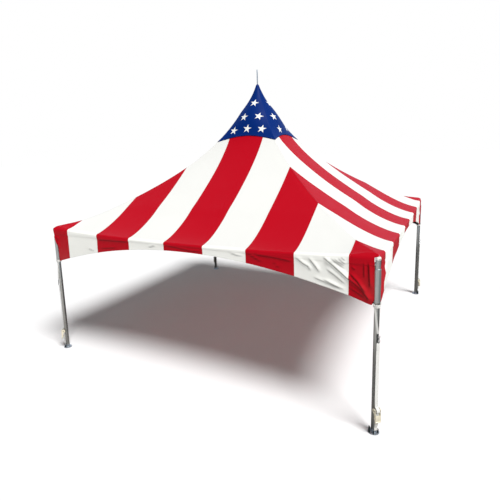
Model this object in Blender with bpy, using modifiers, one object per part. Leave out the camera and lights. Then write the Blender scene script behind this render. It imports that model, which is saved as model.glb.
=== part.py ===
"""High-peak frame marquee, 20 ft square, with a mast that floats on crossed cables.

Metres, +Z up, the ground is z = 0 and the front faces -Y. Corners a, b, c, d are front left,
front right, back right and back left. Each corner is built in a frame of its own: +X points
outward along the diagonal, +Y along the tangent, and the origin is on the ground under the leg.
"""
import math

import bmesh
import bpy
from mathutils import Matrix, Vector

# Plan and heights
EAVE_HALF = 3.068        # centre of the tent to the outer face of the fabric at the eaves
AXIS_AT = 3.033          # centre of the tent to the axes of the legs and beams
EAVE_Z = 2.498           # top of the fabric at a corner
EAVE_DROOP = 0.075       # how much lower the eave lies at mid span
PEAK_Z = 5.224           # fabric at the rim of the crown
SEAM_GAP = 0.0003

# Roof profile: a sweep and a flare, added up, from the eave to the crown
CROWN_R = 0.030
SWEEP_POWER = 1.424
FLARE_POWER = 7.56
FLARE_SHARE = 0.275
FACE_BULGE = 0.036       # how far the middle of a roof side stands proud of the hips
BULGE_END = 0.753
DROOP_START = 0.70
ROUND_UNTIL = 0.28       # nearer the mast than this, the square section of the roof turns round
ROW_CROWDING = 1.25      # above 1 the rows of a roof side lie closer at the eave
ROOF_DEPTH = 0.006
CAP_DEPTH = 0.010

# Blue cap at the top
CAP_HIP_R = 0.655
CAP_ARCH = 0.06          # how much the cap's lower edge rises between the hips
CAP_CROWN_RISE = 0.014
ROD_HOLE_R = 0.0129

# Valance
VALANCE_END = 2.978
VALANCE_MID_Z = 2.290
VALANCE_ARCH = 0.425
VALANCE_DEPTH = 0.005

# Tubes
BEAM_R, BEAM_BORE = 0.0297, 0.0270
BEAM_Z = 2.388
BEAM_START = 0.045       # from a leg's axis to the end of a beam
LEG_R, LEG_BORE = 0.0350, 0.0315
LEG_FOOT_Z, LEG_TOP_Z = 0.058, 2.3297
MAST_R, MAST_BORE = 0.0380, 0.0345
MAST_FOOT_Z, MAST_TOP_Z = 2.200, 5.1497

# Corner head
HEAD_BOTTOM_Z = 1.870
HEAD_SLEEVE_R, HEAD_NECK_R = 0.0425, 0.0345
HEAD_BORE = 0.0353
NECK_Z, NECK_TAPER = 2.340, 0.010
HEAD_EDGE_Z, HEAD_TOP_Z = 2.486, 2.4945
DOME_R, DOME_Z = 0.0210, 2.4895
STUB_R, STUB_LENGTH, STUB_ROOT = 0.0266, 0.150, 0.010
STUB_COLLAR_R, COLLAR_ROOT = 0.0300, 0.012
EYE_Z, EYE_REACH = 2.345, 0.085
EYE_THICK, EYE_HEIGHT = 0.010, 0.050
EYE_ROOT = 0.0363

# Crossed cables and the fitting that they carry
CABLE_R = 0.0050
CABLE_END_R, CABLE_END_LENGTH = 0.0085, 0.080
CABLE_TAPER = 0.010
TURNBUCKLE_R, TURNBUCKLE_LENGTH = 0.0120, 0.260
TURNBUCKLE_START, TURNBUCKLE_TAPER = 0.300, 0.015
FOOT_LUG_Z = 2.190
FOOT_CUP_R, FOOT_CUP_TOP, FOOT_BOTTOM = 0.0470, 2.300, 2.130
FOOT_TIP_R, FOOT_TAPER = 0.0320, 0.030
LUG_ROOT = 0.0410

# Crown and finial
CROWN_DISC_R, CROWN_DISC_THICK = 0.0240, 0.004
CROWN_TOP_Z, CROWN_SHOULDER_Z = 5.2135, 5.165
CROWN_UNDER_Z = 5.1500
CROWN_SKIRT_R, CROWN_SKIRT_Z = 0.0440, 5.100
FINIAL_R, FINIAL_TOP_Z = 0.0125, 5.537
FINIAL_SEAT_Z = 5.195
FINIAL_EDGE = 0.003

# Base plate
PLATE_R, PLATE_THICK = 0.0780, 0.008
SPIGOT_R, SPIGOT_TOP_Z = 0.0312, 0.200
SPIGOT_LEAD, SPIGOT_LEAD_HEIGHT = 0.004, 0.006
SPIGOT_FOOT_R = 0.0300
COLLAR_R, COLLAR_THICK = 0.0385, 0.008
EAR_IN, EAR_OUT, EAR_TOP = 0.0360, 0.0620, 0.076
EAR_Y, EAR_THICK = 0.0310, 0.006
PIN_X, PIN_Z, PIN_R = 0.0480, 0.060, 0.0060
PIN_OVERHANG = 0.006
STAKE_LUG_Y, STAKE_LUG_WIDTH, STAKE_LUG_HEIGHT = -0.068, 0.040, 0.110
STAKE_LUG_THICK = 0.006

# Webbing at each corner
STRAP_X, STRAP_THICK, STRAP_HALF_WIDTH = 0.0465, 0.003, 0.025
TIE_Z, TIE_HEIGHT = 1.838, 0.026
TIE_INNER_R, TIE_OUTER_R = 0.0420, 0.0460
VEE_TOP = (0.0100, 0.0440)
VEE_FOOT = (0.0475, 0.0100)
VEE_FOOT_Z, VEE_WIDTH = 1.470, 0.026
STRAP_TOP_Z = 1.480

# Ratchet
AXLE_Z, AXLE_R = 0.360, 0.0090
BOLT_Z, BOLT_R, BOLT_OVERHANG = 0.245, 0.0050, 0.004
FRAME_Y, FRAME_THICK = 0.0300, 0.003
FRAME_DEPTH, FRAME_TOP, FRAME_BOTTOM = 0.036, 0.388, 0.230
HANDLE_Y, HANDLE_THICK = 0.0382, 0.003
HANDLE_REACH, HANDLE_STAND, GRIP_R = 0.155, 0.034, 0.0095
HANDLE_HOLE_R = 0.0093
ARM_BACK, ARM_FRONT = 0.014, 0.042
ARM_TOP, ARM_BOTTOM = 0.016, 0.161
AXLE_HALF = 0.0440

ROOF_COLUMNS, ROOF_ROWS = 12, 10
CAP_ROWS = 9
VALANCE_COLUMNS = 20
ROUND_STEPS = 20
SMALL_STEPS = 12
CORNERS = "abcd"
SIDES = ("front", "right", "back", "left")

for old in list(bpy.data.objects):
    bpy.data.objects.remove(old, do_unlink=True)

tent = bpy.data.collections.new("marquee_tent")
cutters = bpy.data.collections.new("cutters")
bpy.context.scene.collection.children.link(tent)
bpy.context.scene.collection.children.link(cutters)


def make_material(name, colour, roughness, metallic=0.0):
    material = bpy.data.materials.new(name)
    material.use_nodes = True
    shader = material.node_tree.nodes["Principled BSDF"]
    shader.inputs["Base Color"].default_value = (*colour, 1.0)
    shader.inputs["Roughness"].default_value = roughness
    shader.inputs["Metallic"].default_value = metallic
    material.diffuse_color = (*colour, 1.0)
    return material


RED_VINYL = make_material("red_vinyl", (0.60, 0.01, 0.03), 0.45)
WHITE_VINYL = make_material("white_vinyl", (0.90, 0.89, 0.86), 0.45)
BLUE_VINYL = make_material("blue_vinyl", (0.01, 0.05, 0.30), 0.45)
ALUMINIUM = make_material("aluminium", (0.62, 0.63, 0.64), 0.35, 1.0)
GALVANISED = make_material("galvanised_steel", (0.50, 0.51, 0.52), 0.50, 1.0)
WIRE_ROPE = make_material("wire_rope", (0.45, 0.45, 0.46), 0.45, 1.0)
WEBBING = make_material("webbing", (0.85, 0.84, 0.80), 0.80)
ZINC = make_material("yellow_zinc", (0.62, 0.50, 0.25), 0.40, 1.0)


# Helpers
def place(obj, material, parent=None, collection=tent):
    """Link an object, give it its material and hang it on its corner's empty."""
    collection.objects.link(obj)
    obj.data.materials.append(material)
    obj.parent = parent
    if collection is cutters:
        obj.hide_render = True
        obj.display_type = "WIRE"
    return obj


def mesh_object(name, bm, material, parent=None, collection=tent, smooth_angle=35):
    """Turn a bmesh into an object with its normals facing out."""
    bmesh.ops.recalc_face_normals(bm, faces=bm.faces)
    mesh = bpy.data.meshes.new(name)
    bm.to_mesh(mesh)
    bm.free()
    mesh.shade_smooth()
    mesh.set_sharp_from_angle(angle=math.radians(smooth_angle))
    return place(bpy.data.objects.new(name, mesh), material, parent, collection)


def turned(name, profile, material, parent=None, steps=ROUND_STEPS, collection=tent, closed=True):
    """Turn a profile of (radius, z) points, listed down its outer side, about the local Z axis."""
    mesh = bpy.data.meshes.new(name)
    count = len(profile)
    edges = [(i, i + 1) for i in range(count - 1)]
    if closed:
        edges.append((count - 1, 0))
    mesh.from_pydata([(r, 0.0, z) for r, z in profile], edges, [])
    obj = place(bpy.data.objects.new(name, mesh), material, parent, collection)
    screw = obj.modifiers.new("turn", "SCREW")
    screw.axis = "Z"
    screw.angle = math.tau
    screw.steps = screw.render_steps = steps
    screw.use_merge_vertices = True
    screw.merge_threshold = 0.00001
    screw.use_smooth_shade = True
    return obj


def solid_of_revolution(name, profile, material, parent=None, steps=ROUND_STEPS, collection=tent):
    """Turn a profile that starts and ends on the axis."""
    return turned(name, profile, material, parent, steps, collection, closed=False)


def box(bm, low, high, turn=Matrix.Identity(4)):
    """Add a box between two corners to a bmesh."""
    size = Vector(high) - Vector(low)
    centre = (Vector(high) + Vector(low)) / 2
    matrix = turn @ Matrix.Translation(centre) @ Matrix.Diagonal((*size, 1.0))
    bmesh.ops.create_cube(bm, size=1.0, matrix=matrix)


def rod(bm, start, end, radius, steps=SMALL_STEPS):
    """Add a round bar between two points to a bmesh."""
    start, end = Vector(start), Vector(end)
    run = end - start
    turn = Vector((0, 0, 1)).rotation_difference(run).to_matrix().to_4x4()
    matrix = Matrix.Translation((start + end) / 2) @ turn
    bmesh.ops.create_cone(bm, cap_ends=True, segments=steps, radius1=radius, radius2=radius,
                          depth=run.length, matrix=matrix)


def helper_box(name, low, high, material, parent=None, turn=Matrix.Identity(4)):
    bm = bmesh.new()
    box(bm, low, high, turn)
    return mesh_object(name, bm, material, parent, cutters)


def helper_rod(name, start, end, radius, material, parent=None, steps=SMALL_STEPS):
    bm = bmesh.new()
    rod(bm, start, end, radius, steps)
    return mesh_object(name, bm, material, parent, cutters)


def combine(obj, other, operation="UNION"):
    """Join another solid to an object, or cut it out, with the exact solver."""
    modifier = obj.modifiers.new(other.name, "BOOLEAN")
    modifier.operation = operation
    modifier.object = other
    modifier.solver = "EXACT"


def sheet_solid(name, grids, drop, material):
    """Join grids of points into one skin and thicken it by a drop, given as a vector."""
    bm = bmesh.new()
    for columns, rows, point in grids:
        made = bmesh.ops.create_grid(bm, x_segments=columns, y_segments=rows, size=1.0)
        for vertex in made["verts"]:
            vertex.co = point(vertex.co.x, vertex.co.y)
    bmesh.ops.remove_doubles(bm, verts=bm.verts, dist=0.00005)
    extruded = bmesh.ops.extrude_face_region(bm, geom=bm.faces[:])
    moved = [item for item in extruded["geom"] if isinstance(item, bmesh.types.BMVert)]
    bmesh.ops.translate(bm, verts=moved, vec=drop)
    return mesh_object(name, bm, material)


def side_turn(side):
    """Rotation that takes the front side to side 0, 1, 2 or 3."""
    return Matrix.Rotation(math.radians(90 * side), 4, "Z")


# Roof surface
def smooth_step(value):
    value = min(max(value, 0.0), 1.0)
    return value * value * (3 - 2 * value)


def roof_height(radius, across):
    """Height of the fabric at a distance from the mast; across runs from -1 to 1 between hips."""
    t = min(max((radius - CROWN_R) / (EAVE_HALF - CROWN_R), 0.0), 1.0)
    profile = (1 - FLARE_SHARE) * (1 - t) ** SWEEP_POWER + FLARE_SHARE * (1 - t) ** FLARE_POWER
    fall = min(max((t - DROOP_START) / (1 - DROOP_START), 0.0), 1.0)
    face = FACE_BULGE * math.sin(math.pi * min(t / BULGE_END, 1.0)) - EAVE_DROOP * fall * (2 - fall)
    return EAVE_Z + (PEAK_Z - EAVE_Z) * profile + face * (1 - across * across)


def roof_point(radius, across, seam=0.0):
    """Point of the front side, with the square section turning round towards the crown."""
    square = smooth_step((radius - CROWN_R) / (ROUND_UNTIL - CROWN_R))
    shrink = square + (1 - square) / math.sqrt(1 + across * across)
    return Vector((across * (radius - seam) * shrink, -radius * shrink, roof_height(radius, across)))


def cap_edge(across):
    """Distance from the mast to the cap's lower edge."""
    return CAP_HIP_R - CAP_ARCH * (1 - across * across)


def eave_height(x):
    return roof_height(EAVE_HALF, x / EAVE_HALF)


def valance_hem(x):
    return VALANCE_MID_Z - VALANCE_ARCH * (x / VALANCE_END) ** 2


def build_roof():
    for side, word in enumerate(SIDES):
        turn = side_turn(side)

        def panel(u, v, turn=turn):
            top = cap_edge(u) + SEAM_GAP
            share = (v + 1) / 2
            radius = EAVE_HALF + (top - EAVE_HALF) * share ** ROW_CROWDING
            return turn @ roof_point(radius, u, 2 * SEAM_GAP)

        sheet_solid(f"roof_{word}", [(ROOF_COLUMNS, ROOF_ROWS, panel)], (0, 0, -ROOF_DEPTH),
                    RED_VINYL if side % 2 == 0 else WHITE_VINYL)


def build_peak_cap():
    grids = []
    for side in range(len(SIDES)):
        turn = side_turn(side)

        def skirt(u, v, turn=turn):
            share = (v + 1) / 2
            radius = cap_edge(u) + (CROWN_R - cap_edge(u)) * share
            return turn @ roof_point(radius, u)

        def crown(u, v, turn=turn):
            share = (v + 1) / 2
            radius = CROWN_R + (ROD_HOLE_R - CROWN_R) * share
            point = roof_point(CROWN_R, u) * (radius / CROWN_R)
            point.z = PEAK_Z + CAP_CROWN_RISE * math.sin(share * math.pi / 2)
            return turn @ point

        grids += [(ROOF_COLUMNS, CAP_ROWS, skirt), (ROOF_COLUMNS, 2, crown)]
    sheet_solid("peak_cap", grids, (0, 0, -CAP_DEPTH), BLUE_VINYL)


def build_valances():
    for side, word in enumerate(SIDES):
        turn = side_turn(side)

        def hanging(u, v, turn=turn):
            x = VALANCE_END * u
            top = eave_height(x) - ROOF_DEPTH - SEAM_GAP
            return turn @ Vector((x, -EAVE_HALF, valance_hem(x) + (top - valance_hem(x)) * (v + 1) / 2))

        inward = turn @ Vector((0, VALANCE_DEPTH, 0))
        sheet_solid(f"valance_{word}", [(VALANCE_COLUMNS, 2, hanging)], inward, RED_VINYL)


# Frame
def build_beams():
    for side, word in enumerate(SIDES):
        half = AXIS_AT - BEAM_START
        profile = [(BEAM_R, half), (BEAM_R, -half), (BEAM_BORE, -half), (BEAM_BORE, half)]
        beam = turned(f"beam_{word}", profile, ALUMINIUM)
        beam.matrix_world = (side_turn(side) @ Matrix.Translation((0, -AXIS_AT, BEAM_Z))
                             @ Matrix.Rotation(math.radians(90), 4, "Y"))


def build_mast():
    turned("mast", [(MAST_R, MAST_TOP_Z), (MAST_R, MAST_FOOT_Z + SEAM_GAP),
                    (MAST_BORE, MAST_FOOT_Z + SEAM_GAP), (MAST_BORE, MAST_TOP_Z)], ALUMINIUM)
    cup = solid_of_revolution("mast_foot", [
        (0, MAST_FOOT_Z), (MAST_R + SEAM_GAP, MAST_FOOT_Z), (MAST_R + SEAM_GAP, FOOT_CUP_TOP),
        (FOOT_CUP_R, FOOT_CUP_TOP), (FOOT_CUP_R, FOOT_BOTTOM + FOOT_TAPER), (FOOT_TIP_R, FOOT_BOTTOM),
        (0, FOOT_BOTTOM)], GALVANISED)
    for corner in range(len(CORNERS)):
        turn = Matrix.Rotation(math.radians(225 + 90 * corner), 4, "Z")
        lug = helper_box(f"mast_foot_lug_{corner}",
                         (LUG_ROOT, -EYE_THICK / 2, FOOT_LUG_Z - EYE_HEIGHT / 2),
                         (EYE_REACH, EYE_THICK / 2, FOOT_LUG_Z + EYE_HEIGHT / 2), GALVANISED, turn=turn)
        combine(cup, lug)
    solid_of_revolution("crown", [
        (0, FINIAL_SEAT_Z), (FINIAL_R + SEAM_GAP, FINIAL_SEAT_Z), (FINIAL_R + SEAM_GAP, CROWN_TOP_Z),
        (CROWN_DISC_R, CROWN_TOP_Z), (CROWN_DISC_R, CROWN_TOP_Z - CROWN_DISC_THICK),
        (CROWN_SKIRT_R, CROWN_SHOULDER_Z),
        (CROWN_SKIRT_R, CROWN_SKIRT_Z), (MAST_R + SEAM_GAP, CROWN_SKIRT_Z),
        (MAST_R + SEAM_GAP, CROWN_UNDER_Z), (0, CROWN_UNDER_Z)], GALVANISED)
    solid_of_revolution("finial_rod", [
        (0, FINIAL_TOP_Z), (FINIAL_R - FINIAL_EDGE, FINIAL_TOP_Z), (FINIAL_R, FINIAL_TOP_Z - FINIAL_EDGE),
        (FINIAL_R, FINIAL_SEAT_Z + SEAM_GAP), (0, FINIAL_SEAT_Z + SEAM_GAP)], ALUMINIUM)


def build_cable(letter, angle):
    """Cable with swaged ends and a turnbuckle, from a corner head's eye to the mast foot."""
    outward = Vector((math.cos(angle), math.sin(angle), 0))
    high = outward * (AXIS_AT * math.sqrt(2) - EYE_REACH - 2 * SEAM_GAP) + Vector((0, 0, EYE_Z))
    low = outward * (EYE_REACH + 2 * SEAM_GAP) + Vector((0, 0, FOOT_LUG_Z))
    length = (high - low).length
    buckle_end = length - TURNBUCKLE_START
    buckle_low = buckle_end - TURNBUCKLE_LENGTH
    cable = solid_of_revolution(f"cable_{letter}", [
        (0, length), (CABLE_END_R, length), (CABLE_END_R, length - CABLE_END_LENGTH),
        (CABLE_R, length - CABLE_END_LENGTH - CABLE_TAPER), (CABLE_R, buckle_end),
        (TURNBUCKLE_R, buckle_end - TURNBUCKLE_TAPER), (TURNBUCKLE_R, buckle_low),
        (CABLE_R, buckle_low - TURNBUCKLE_TAPER), (CABLE_R, CABLE_END_LENGTH + CABLE_TAPER),
        (CABLE_END_R, CABLE_END_LENGTH), (CABLE_END_R, 0), (0, 0)], WIRE_ROPE, steps=SMALL_STEPS)
    turn = Vector((0, 0, 1)).rotation_difference(high - low).to_matrix().to_4x4()
    cable.matrix_world = Matrix.Translation(low) @ turn


# Corners
def build_base_plate(letter, corner):
    """Round plate with a spigot for the leg, a clevis for the strap and a stake lug."""
    foot = solid_of_revolution(f"base_plate_{letter}", [
        (0, SPIGOT_TOP_Z), (SPIGOT_R - SPIGOT_LEAD, SPIGOT_TOP_Z),
        (SPIGOT_R, SPIGOT_TOP_Z - SPIGOT_LEAD_HEIGHT), (SPIGOT_R, LEG_FOOT_Z - SEAM_GAP),
        (COLLAR_R, LEG_FOOT_Z - SEAM_GAP),
        (COLLAR_R, LEG_FOOT_Z - COLLAR_THICK), (SPIGOT_FOOT_R, LEG_FOOT_Z - COLLAR_THICK),
        (SPIGOT_FOOT_R, PLATE_THICK), (PLATE_R, PLATE_THICK), (PLATE_R, 0), (0, 0)], GALVANISED, corner)
    for word, y in (("near", EAR_Y), ("far", -EAR_Y - EAR_THICK)):
        combine(foot, helper_box(f"ear_{word}_{letter}", (EAR_IN, y, PLATE_THICK / 2),
                                 (EAR_OUT, y + EAR_THICK, EAR_TOP), GALVANISED, corner))
    pin_end = EAR_Y + EAR_THICK + PIN_OVERHANG
    combine(foot, helper_rod(f"pin_{letter}", (PIN_X, -pin_end, PIN_Z), (PIN_X, pin_end, PIN_Z), PIN_R,
                             GALVANISED, corner))
    combine(foot, helper_box(f"stake_lug_{letter}",
                             (-STAKE_LUG_WIDTH / 2, STAKE_LUG_Y - STAKE_LUG_THICK / 2, PLATE_THICK / 2),
                             (STAKE_LUG_WIDTH / 2, STAKE_LUG_Y + STAKE_LUG_THICK / 2, STAKE_LUG_HEIGHT),
                             GALVANISED, corner))


def build_corner_head(letter, corner):
    """Sleeve over the leg's top with two beam stubs and the cable's eye."""
    head = solid_of_revolution(f"corner_head_{letter}", [
        (0, HEAD_TOP_Z), (DOME_R, DOME_Z), (HEAD_NECK_R, HEAD_EDGE_Z),
        (HEAD_NECK_R, NECK_Z), (HEAD_SLEEVE_R, NECK_Z - NECK_TAPER), (HEAD_SLEEVE_R, HEAD_BOTTOM_Z),
        (HEAD_BORE, HEAD_BOTTOM_Z), (HEAD_BORE, LEG_TOP_Z + SEAM_GAP), (0, LEG_TOP_Z + SEAM_GAP)],
        ALUMINIUM, corner)
    for word, heading in (("left", 135), ("right", 225)):
        way = Vector((math.cos(math.radians(heading)), math.sin(math.radians(heading)), 0))
        root = Vector((0, 0, BEAM_Z))
        combine(head, helper_rod(f"stub_{word}_{letter}", root + way * STUB_ROOT, root + way * STUB_LENGTH,
                                 STUB_R, ALUMINIUM, corner, ROUND_STEPS))
        combine(head, helper_rod(f"stub_collar_{word}_{letter}", root + way * COLLAR_ROOT,
                                 root + way * (BEAM_START - SEAM_GAP), STUB_COLLAR_R, ALUMINIUM, corner,
                                 ROUND_STEPS))
    combine(head, helper_box(f"eye_{letter}", (-EYE_REACH, -EYE_THICK / 2, EYE_Z - EYE_HEIGHT / 2),
                             (-EYE_ROOT, EYE_THICK / 2, EYE_Z + EYE_HEIGHT / 2), ALUMINIUM, corner))


def band(bm, start, end, width, thick, face):
    """Add a flat band between two points, with its broad face turned to a direction."""
    start, end = Vector(start), Vector(end)
    along = (end - start).normalized()
    face = (Vector(face) - along * Vector(face).dot(along)).normalized()
    across = face.cross(along)
    turn = Matrix((face, across, along)).transposed().to_4x4()
    matrix = (Matrix.Translation((start + end) / 2) @ turn
              @ Matrix.Diagonal((thick, width, (end - start).length, 1.0)))
    bmesh.ops.create_cube(bm, size=1.0, matrix=matrix)


def build_strap(letter, corner):
    """Tie ring round the leg, the V that comes down from it and the long strap to the foot."""
    strap = turned(f"strap_{letter}", [
        (TIE_OUTER_R, TIE_Z + TIE_HEIGHT / 2), (TIE_OUTER_R, TIE_Z - TIE_HEIGHT / 2),
        (TIE_INNER_R, TIE_Z - TIE_HEIGHT / 2), (TIE_INNER_R, TIE_Z + TIE_HEIGHT / 2)], WEBBING, corner)
    for word, hand in (("near", 1), ("far", -1)):
        top = Vector((VEE_TOP[0], hand * VEE_TOP[1], TIE_Z))
        foot = Vector((VEE_FOOT[0], hand * VEE_FOOT[1], VEE_FOOT_Z))
        run = foot - top
        bm = bmesh.new()
        band(bm, top, foot, VEE_WIDTH, STRAP_THICK, (-hand * run.y, hand * run.x, 0))
        combine(strap, mesh_object(f"vee_{word}_{letter}", bm, WEBBING, corner, cutters))
    combine(strap, helper_box(f"long_strap_{letter}",
                              (STRAP_X, -STRAP_HALF_WIDTH, PIN_Z + PIN_R + SEAM_GAP),
                              (STRAP_X + STRAP_THICK, STRAP_HALF_WIDTH, STRAP_TOP_Z), WEBBING, corner))


def build_ratchet(letter, corner):
    """Ratchet frame that lies on the strap: two side plates, the spool's axle and a bolt."""
    axle_x = STRAP_X + STRAP_THICK + SEAM_GAP + AXLE_R
    bolt_x = STRAP_X + STRAP_THICK + SEAM_GAP + BOLT_R
    bm = bmesh.new()
    rod(bm, (axle_x, -AXLE_HALF, AXLE_Z), (axle_x, AXLE_HALF, AXLE_Z), AXLE_R, ROUND_STEPS)
    frame = mesh_object(f"ratchet_{letter}", bm, ZINC, corner)
    plate_x = STRAP_X + STRAP_THICK + SEAM_GAP
    for word, y in (("near", FRAME_Y - FRAME_THICK), ("far", -FRAME_Y)):
        combine(frame, helper_box(f"frame_{word}_{letter}", (plate_x, y, FRAME_BOTTOM),
                                  (plate_x + FRAME_DEPTH, y + FRAME_THICK, FRAME_TOP), ZINC, corner))
    bolt_end = FRAME_Y + BOLT_OVERHANG
    combine(frame, helper_rod(f"bolt_{letter}", (bolt_x, -bolt_end, BOLT_Z), (bolt_x, bolt_end, BOLT_Z),
                              BOLT_R, ZINC, corner))

    pivot = bpy.data.objects.new(f"handle_pivot_{letter}", None)
    tent.objects.link(pivot)
    pivot.parent = corner
    pivot.location = (axle_x, 0, AXLE_Z)
    bm = bmesh.new()
    rod(bm, (HANDLE_STAND, -HANDLE_Y - HANDLE_THICK, -HANDLE_REACH),
        (HANDLE_STAND, HANDLE_Y + HANDLE_THICK, -HANDLE_REACH), GRIP_R)
    handle = mesh_object(f"ratchet_handle_{letter}", bm, ZINC, pivot)
    for word, y in (("near", HANDLE_Y), ("far", -HANDLE_Y - HANDLE_THICK)):
        combine(handle, helper_box(f"arm_{word}_{letter}", (-ARM_BACK, y, -ARM_BOTTOM),
                                   (ARM_FRONT, y + HANDLE_THICK, ARM_TOP), ZINC, pivot))
    combine(handle, helper_rod(f"axle_hole_{letter}", (0, -AXLE_HALF * 2, 0), (0, AXLE_HALF * 2, 0),
                               HANDLE_HOLE_R, ZINC, pivot, ROUND_STEPS), "DIFFERENCE")


def build_corner(index, letter):
    angle = math.radians(225 + 90 * index)
    reach = AXIS_AT * math.sqrt(2)
    corner = bpy.data.objects.new(f"corner_{letter}", None)
    tent.objects.link(corner)
    corner.location = (reach * math.cos(angle), reach * math.sin(angle), 0)
    corner.rotation_euler = (0, 0, angle)
    build_base_plate(letter, corner)
    turned(f"leg_{letter}", [(LEG_R, LEG_TOP_Z), (LEG_R, LEG_FOOT_Z), (LEG_BORE, LEG_FOOT_Z),
                             (LEG_BORE, LEG_TOP_Z)], ALUMINIUM, corner)
    build_corner_head(letter, corner)
    build_strap(letter, corner)
    build_ratchet(letter, corner)
    build_cable(letter, angle)


build_roof()
build_peak_cap()
build_valances()
build_beams()
build_mast()
for number, name in enumerate(CORNERS):
    build_corner(number, name)
bpy.context.view_layer.update()
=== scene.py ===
"""Dress the 20 ft square high-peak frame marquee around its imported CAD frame.

Metres, +Z up, the front eave faces -Y. Corners a, b, c and d are front left, front right, back
right and back left. A corner's pieces are made in its own frame: +X points outward along the
diagonal, +Y along the tangent, and the origin is on the ground under the leg.
"""

import logging
import math
from collections.abc import Callable, Iterable, Iterator, Sequence
from dataclasses import dataclass, field
from functools import cache, cached_property

import bmesh
import bpy
from mathutils import Matrix, Vector, noise


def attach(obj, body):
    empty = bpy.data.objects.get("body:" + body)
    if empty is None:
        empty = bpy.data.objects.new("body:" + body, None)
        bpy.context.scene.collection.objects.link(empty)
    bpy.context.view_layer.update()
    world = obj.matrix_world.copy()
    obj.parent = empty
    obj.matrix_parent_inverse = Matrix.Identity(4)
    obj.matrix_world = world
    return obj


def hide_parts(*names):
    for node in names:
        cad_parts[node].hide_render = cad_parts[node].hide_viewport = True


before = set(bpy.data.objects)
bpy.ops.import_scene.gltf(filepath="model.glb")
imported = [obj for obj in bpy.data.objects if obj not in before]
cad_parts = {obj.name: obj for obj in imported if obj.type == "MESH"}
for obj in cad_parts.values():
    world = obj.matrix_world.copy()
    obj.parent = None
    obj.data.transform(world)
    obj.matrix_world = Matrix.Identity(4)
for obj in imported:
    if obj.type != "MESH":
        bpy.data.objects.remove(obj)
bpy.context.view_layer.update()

log = logging.getLogger("marquee")

Point = tuple[float, float]
Number = "float | Value"
CORNERS = "abcd"
SIDES = ("front", "right", "back", "left")
TENT = "tent"


# Shared sizes
@dataclass(frozen=True)
class Plan:
    """Sizes that several pieces share, the same as in the CAD model."""

    eave_half: float = 3.068
    axis_at: float = 3.033
    eave_z: float = 2.498
    beam_z: float = 2.388
    beam_r: float = 0.0297
    leg_r: float = 0.035
    strap_x: float = 0.0465
    strap_thick: float = 0.003
    axle_z: float = 0.360
    axle_r: float = 0.009
    pin: Point = (0.048, 0.060)

    @property
    def reach(self) -> float:
        """Distance from the mast to a leg's axis."""
        return self.axis_at * math.sqrt(2)

    @property
    def axle_x(self) -> float:
        """Distance from a leg's axis to the ratchet's axle."""
        return self.strap_x + self.strap_thick + 0.0003 + self.axle_r


PLAN = Plan()


def side_turn(side: int) -> Matrix:
    """Rotation that takes the front side to side 0, 1, 2 or 3."""
    return Matrix.Rotation(math.radians(90 * side), 4, "Z")


def heading(degrees: float) -> Vector:
    """Level direction, counted from +X towards +Y."""
    angle = math.radians(degrees)
    return Vector((math.cos(angle), math.sin(angle), 0))


def corner_angle(index: int) -> float:
    """Heading in degrees from the mast to a corner."""
    return 225 + 90 * index


def corners() -> Iterator[tuple[str, Matrix]]:
    """Letter and frame of each corner in turn."""
    for index, letter in enumerate(CORNERS):
        angle = corner_angle(index)
        spot = Matrix.Translation(heading(angle) * PLAN.reach)
        yield letter, spot @ Matrix.Rotation(math.radians(angle), 4, "Z")


def smooth_step(value: float) -> float:
    """Ease from 0 to 1."""
    value = min(max(value, 0.0), 1.0)
    return value * value * (3 - 2 * value)


def lerp(low: float, high: float, share: float) -> float:
    """Value at a share of the way from low to high."""
    return low + (high - low) * share


# Material graphs
class Value:
    """A socket of a material graph whose arithmetic adds Math nodes."""

    def __init__(self, graph: "Graph", socket: bpy.types.NodeSocket) -> None:
        """Keep the graph and the socket."""
        self.graph = graph
        self.socket = socket

    def _with(self, operation: str, other: Number, swapped: bool = False) -> "Value":
        """Combine with another value.

        Args:
            operation: the Math node's operation.
            other: a number or another value.
            swapped: whether the other value comes first.

        Returns:
            The result.
        """
        pair = (other, self) if swapped else (self, other)
        return self.graph.math(operation, *pair)

    def __add__(self, other: Number) -> "Value":
        """Sum."""
        return self._with("ADD", other)

    __radd__ = __add__

    def __sub__(self, other: Number) -> "Value":
        """Difference."""
        return self._with("SUBTRACT", other)

    def __rsub__(self, other: Number) -> "Value":
        """Difference from a number."""
        return self._with("SUBTRACT", other, swapped=True)

    def __mul__(self, other: Number) -> "Value":
        """Product."""
        return self._with("MULTIPLY", other)

    __rmul__ = __mul__

    def __truediv__(self, other: Number) -> "Value":
        """Quotient."""
        return self._with("DIVIDE", other)

    def __mod__(self, other: Number) -> "Value":
        """Remainder that never falls below 0."""
        return self._with("FLOORED_MODULO", other)

    def __abs__(self) -> "Value":
        """Size without its sign."""
        return self.graph.math("ABSOLUTE", self)

    def fade(self, start: float, end: float) -> "Value":
        """Ease from 0 at start to 1 at end; start may be the greater."""
        settings = {"interpolation_type": "SMOOTHSTEP"}
        inputs = {"Value": self, "From Min": min(start, end), "From Max": max(start, end)}
        eased = self.graph.value("ShaderNodeMapRange", settings, inputs)
        return eased if start < end else 1 - eased


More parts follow.
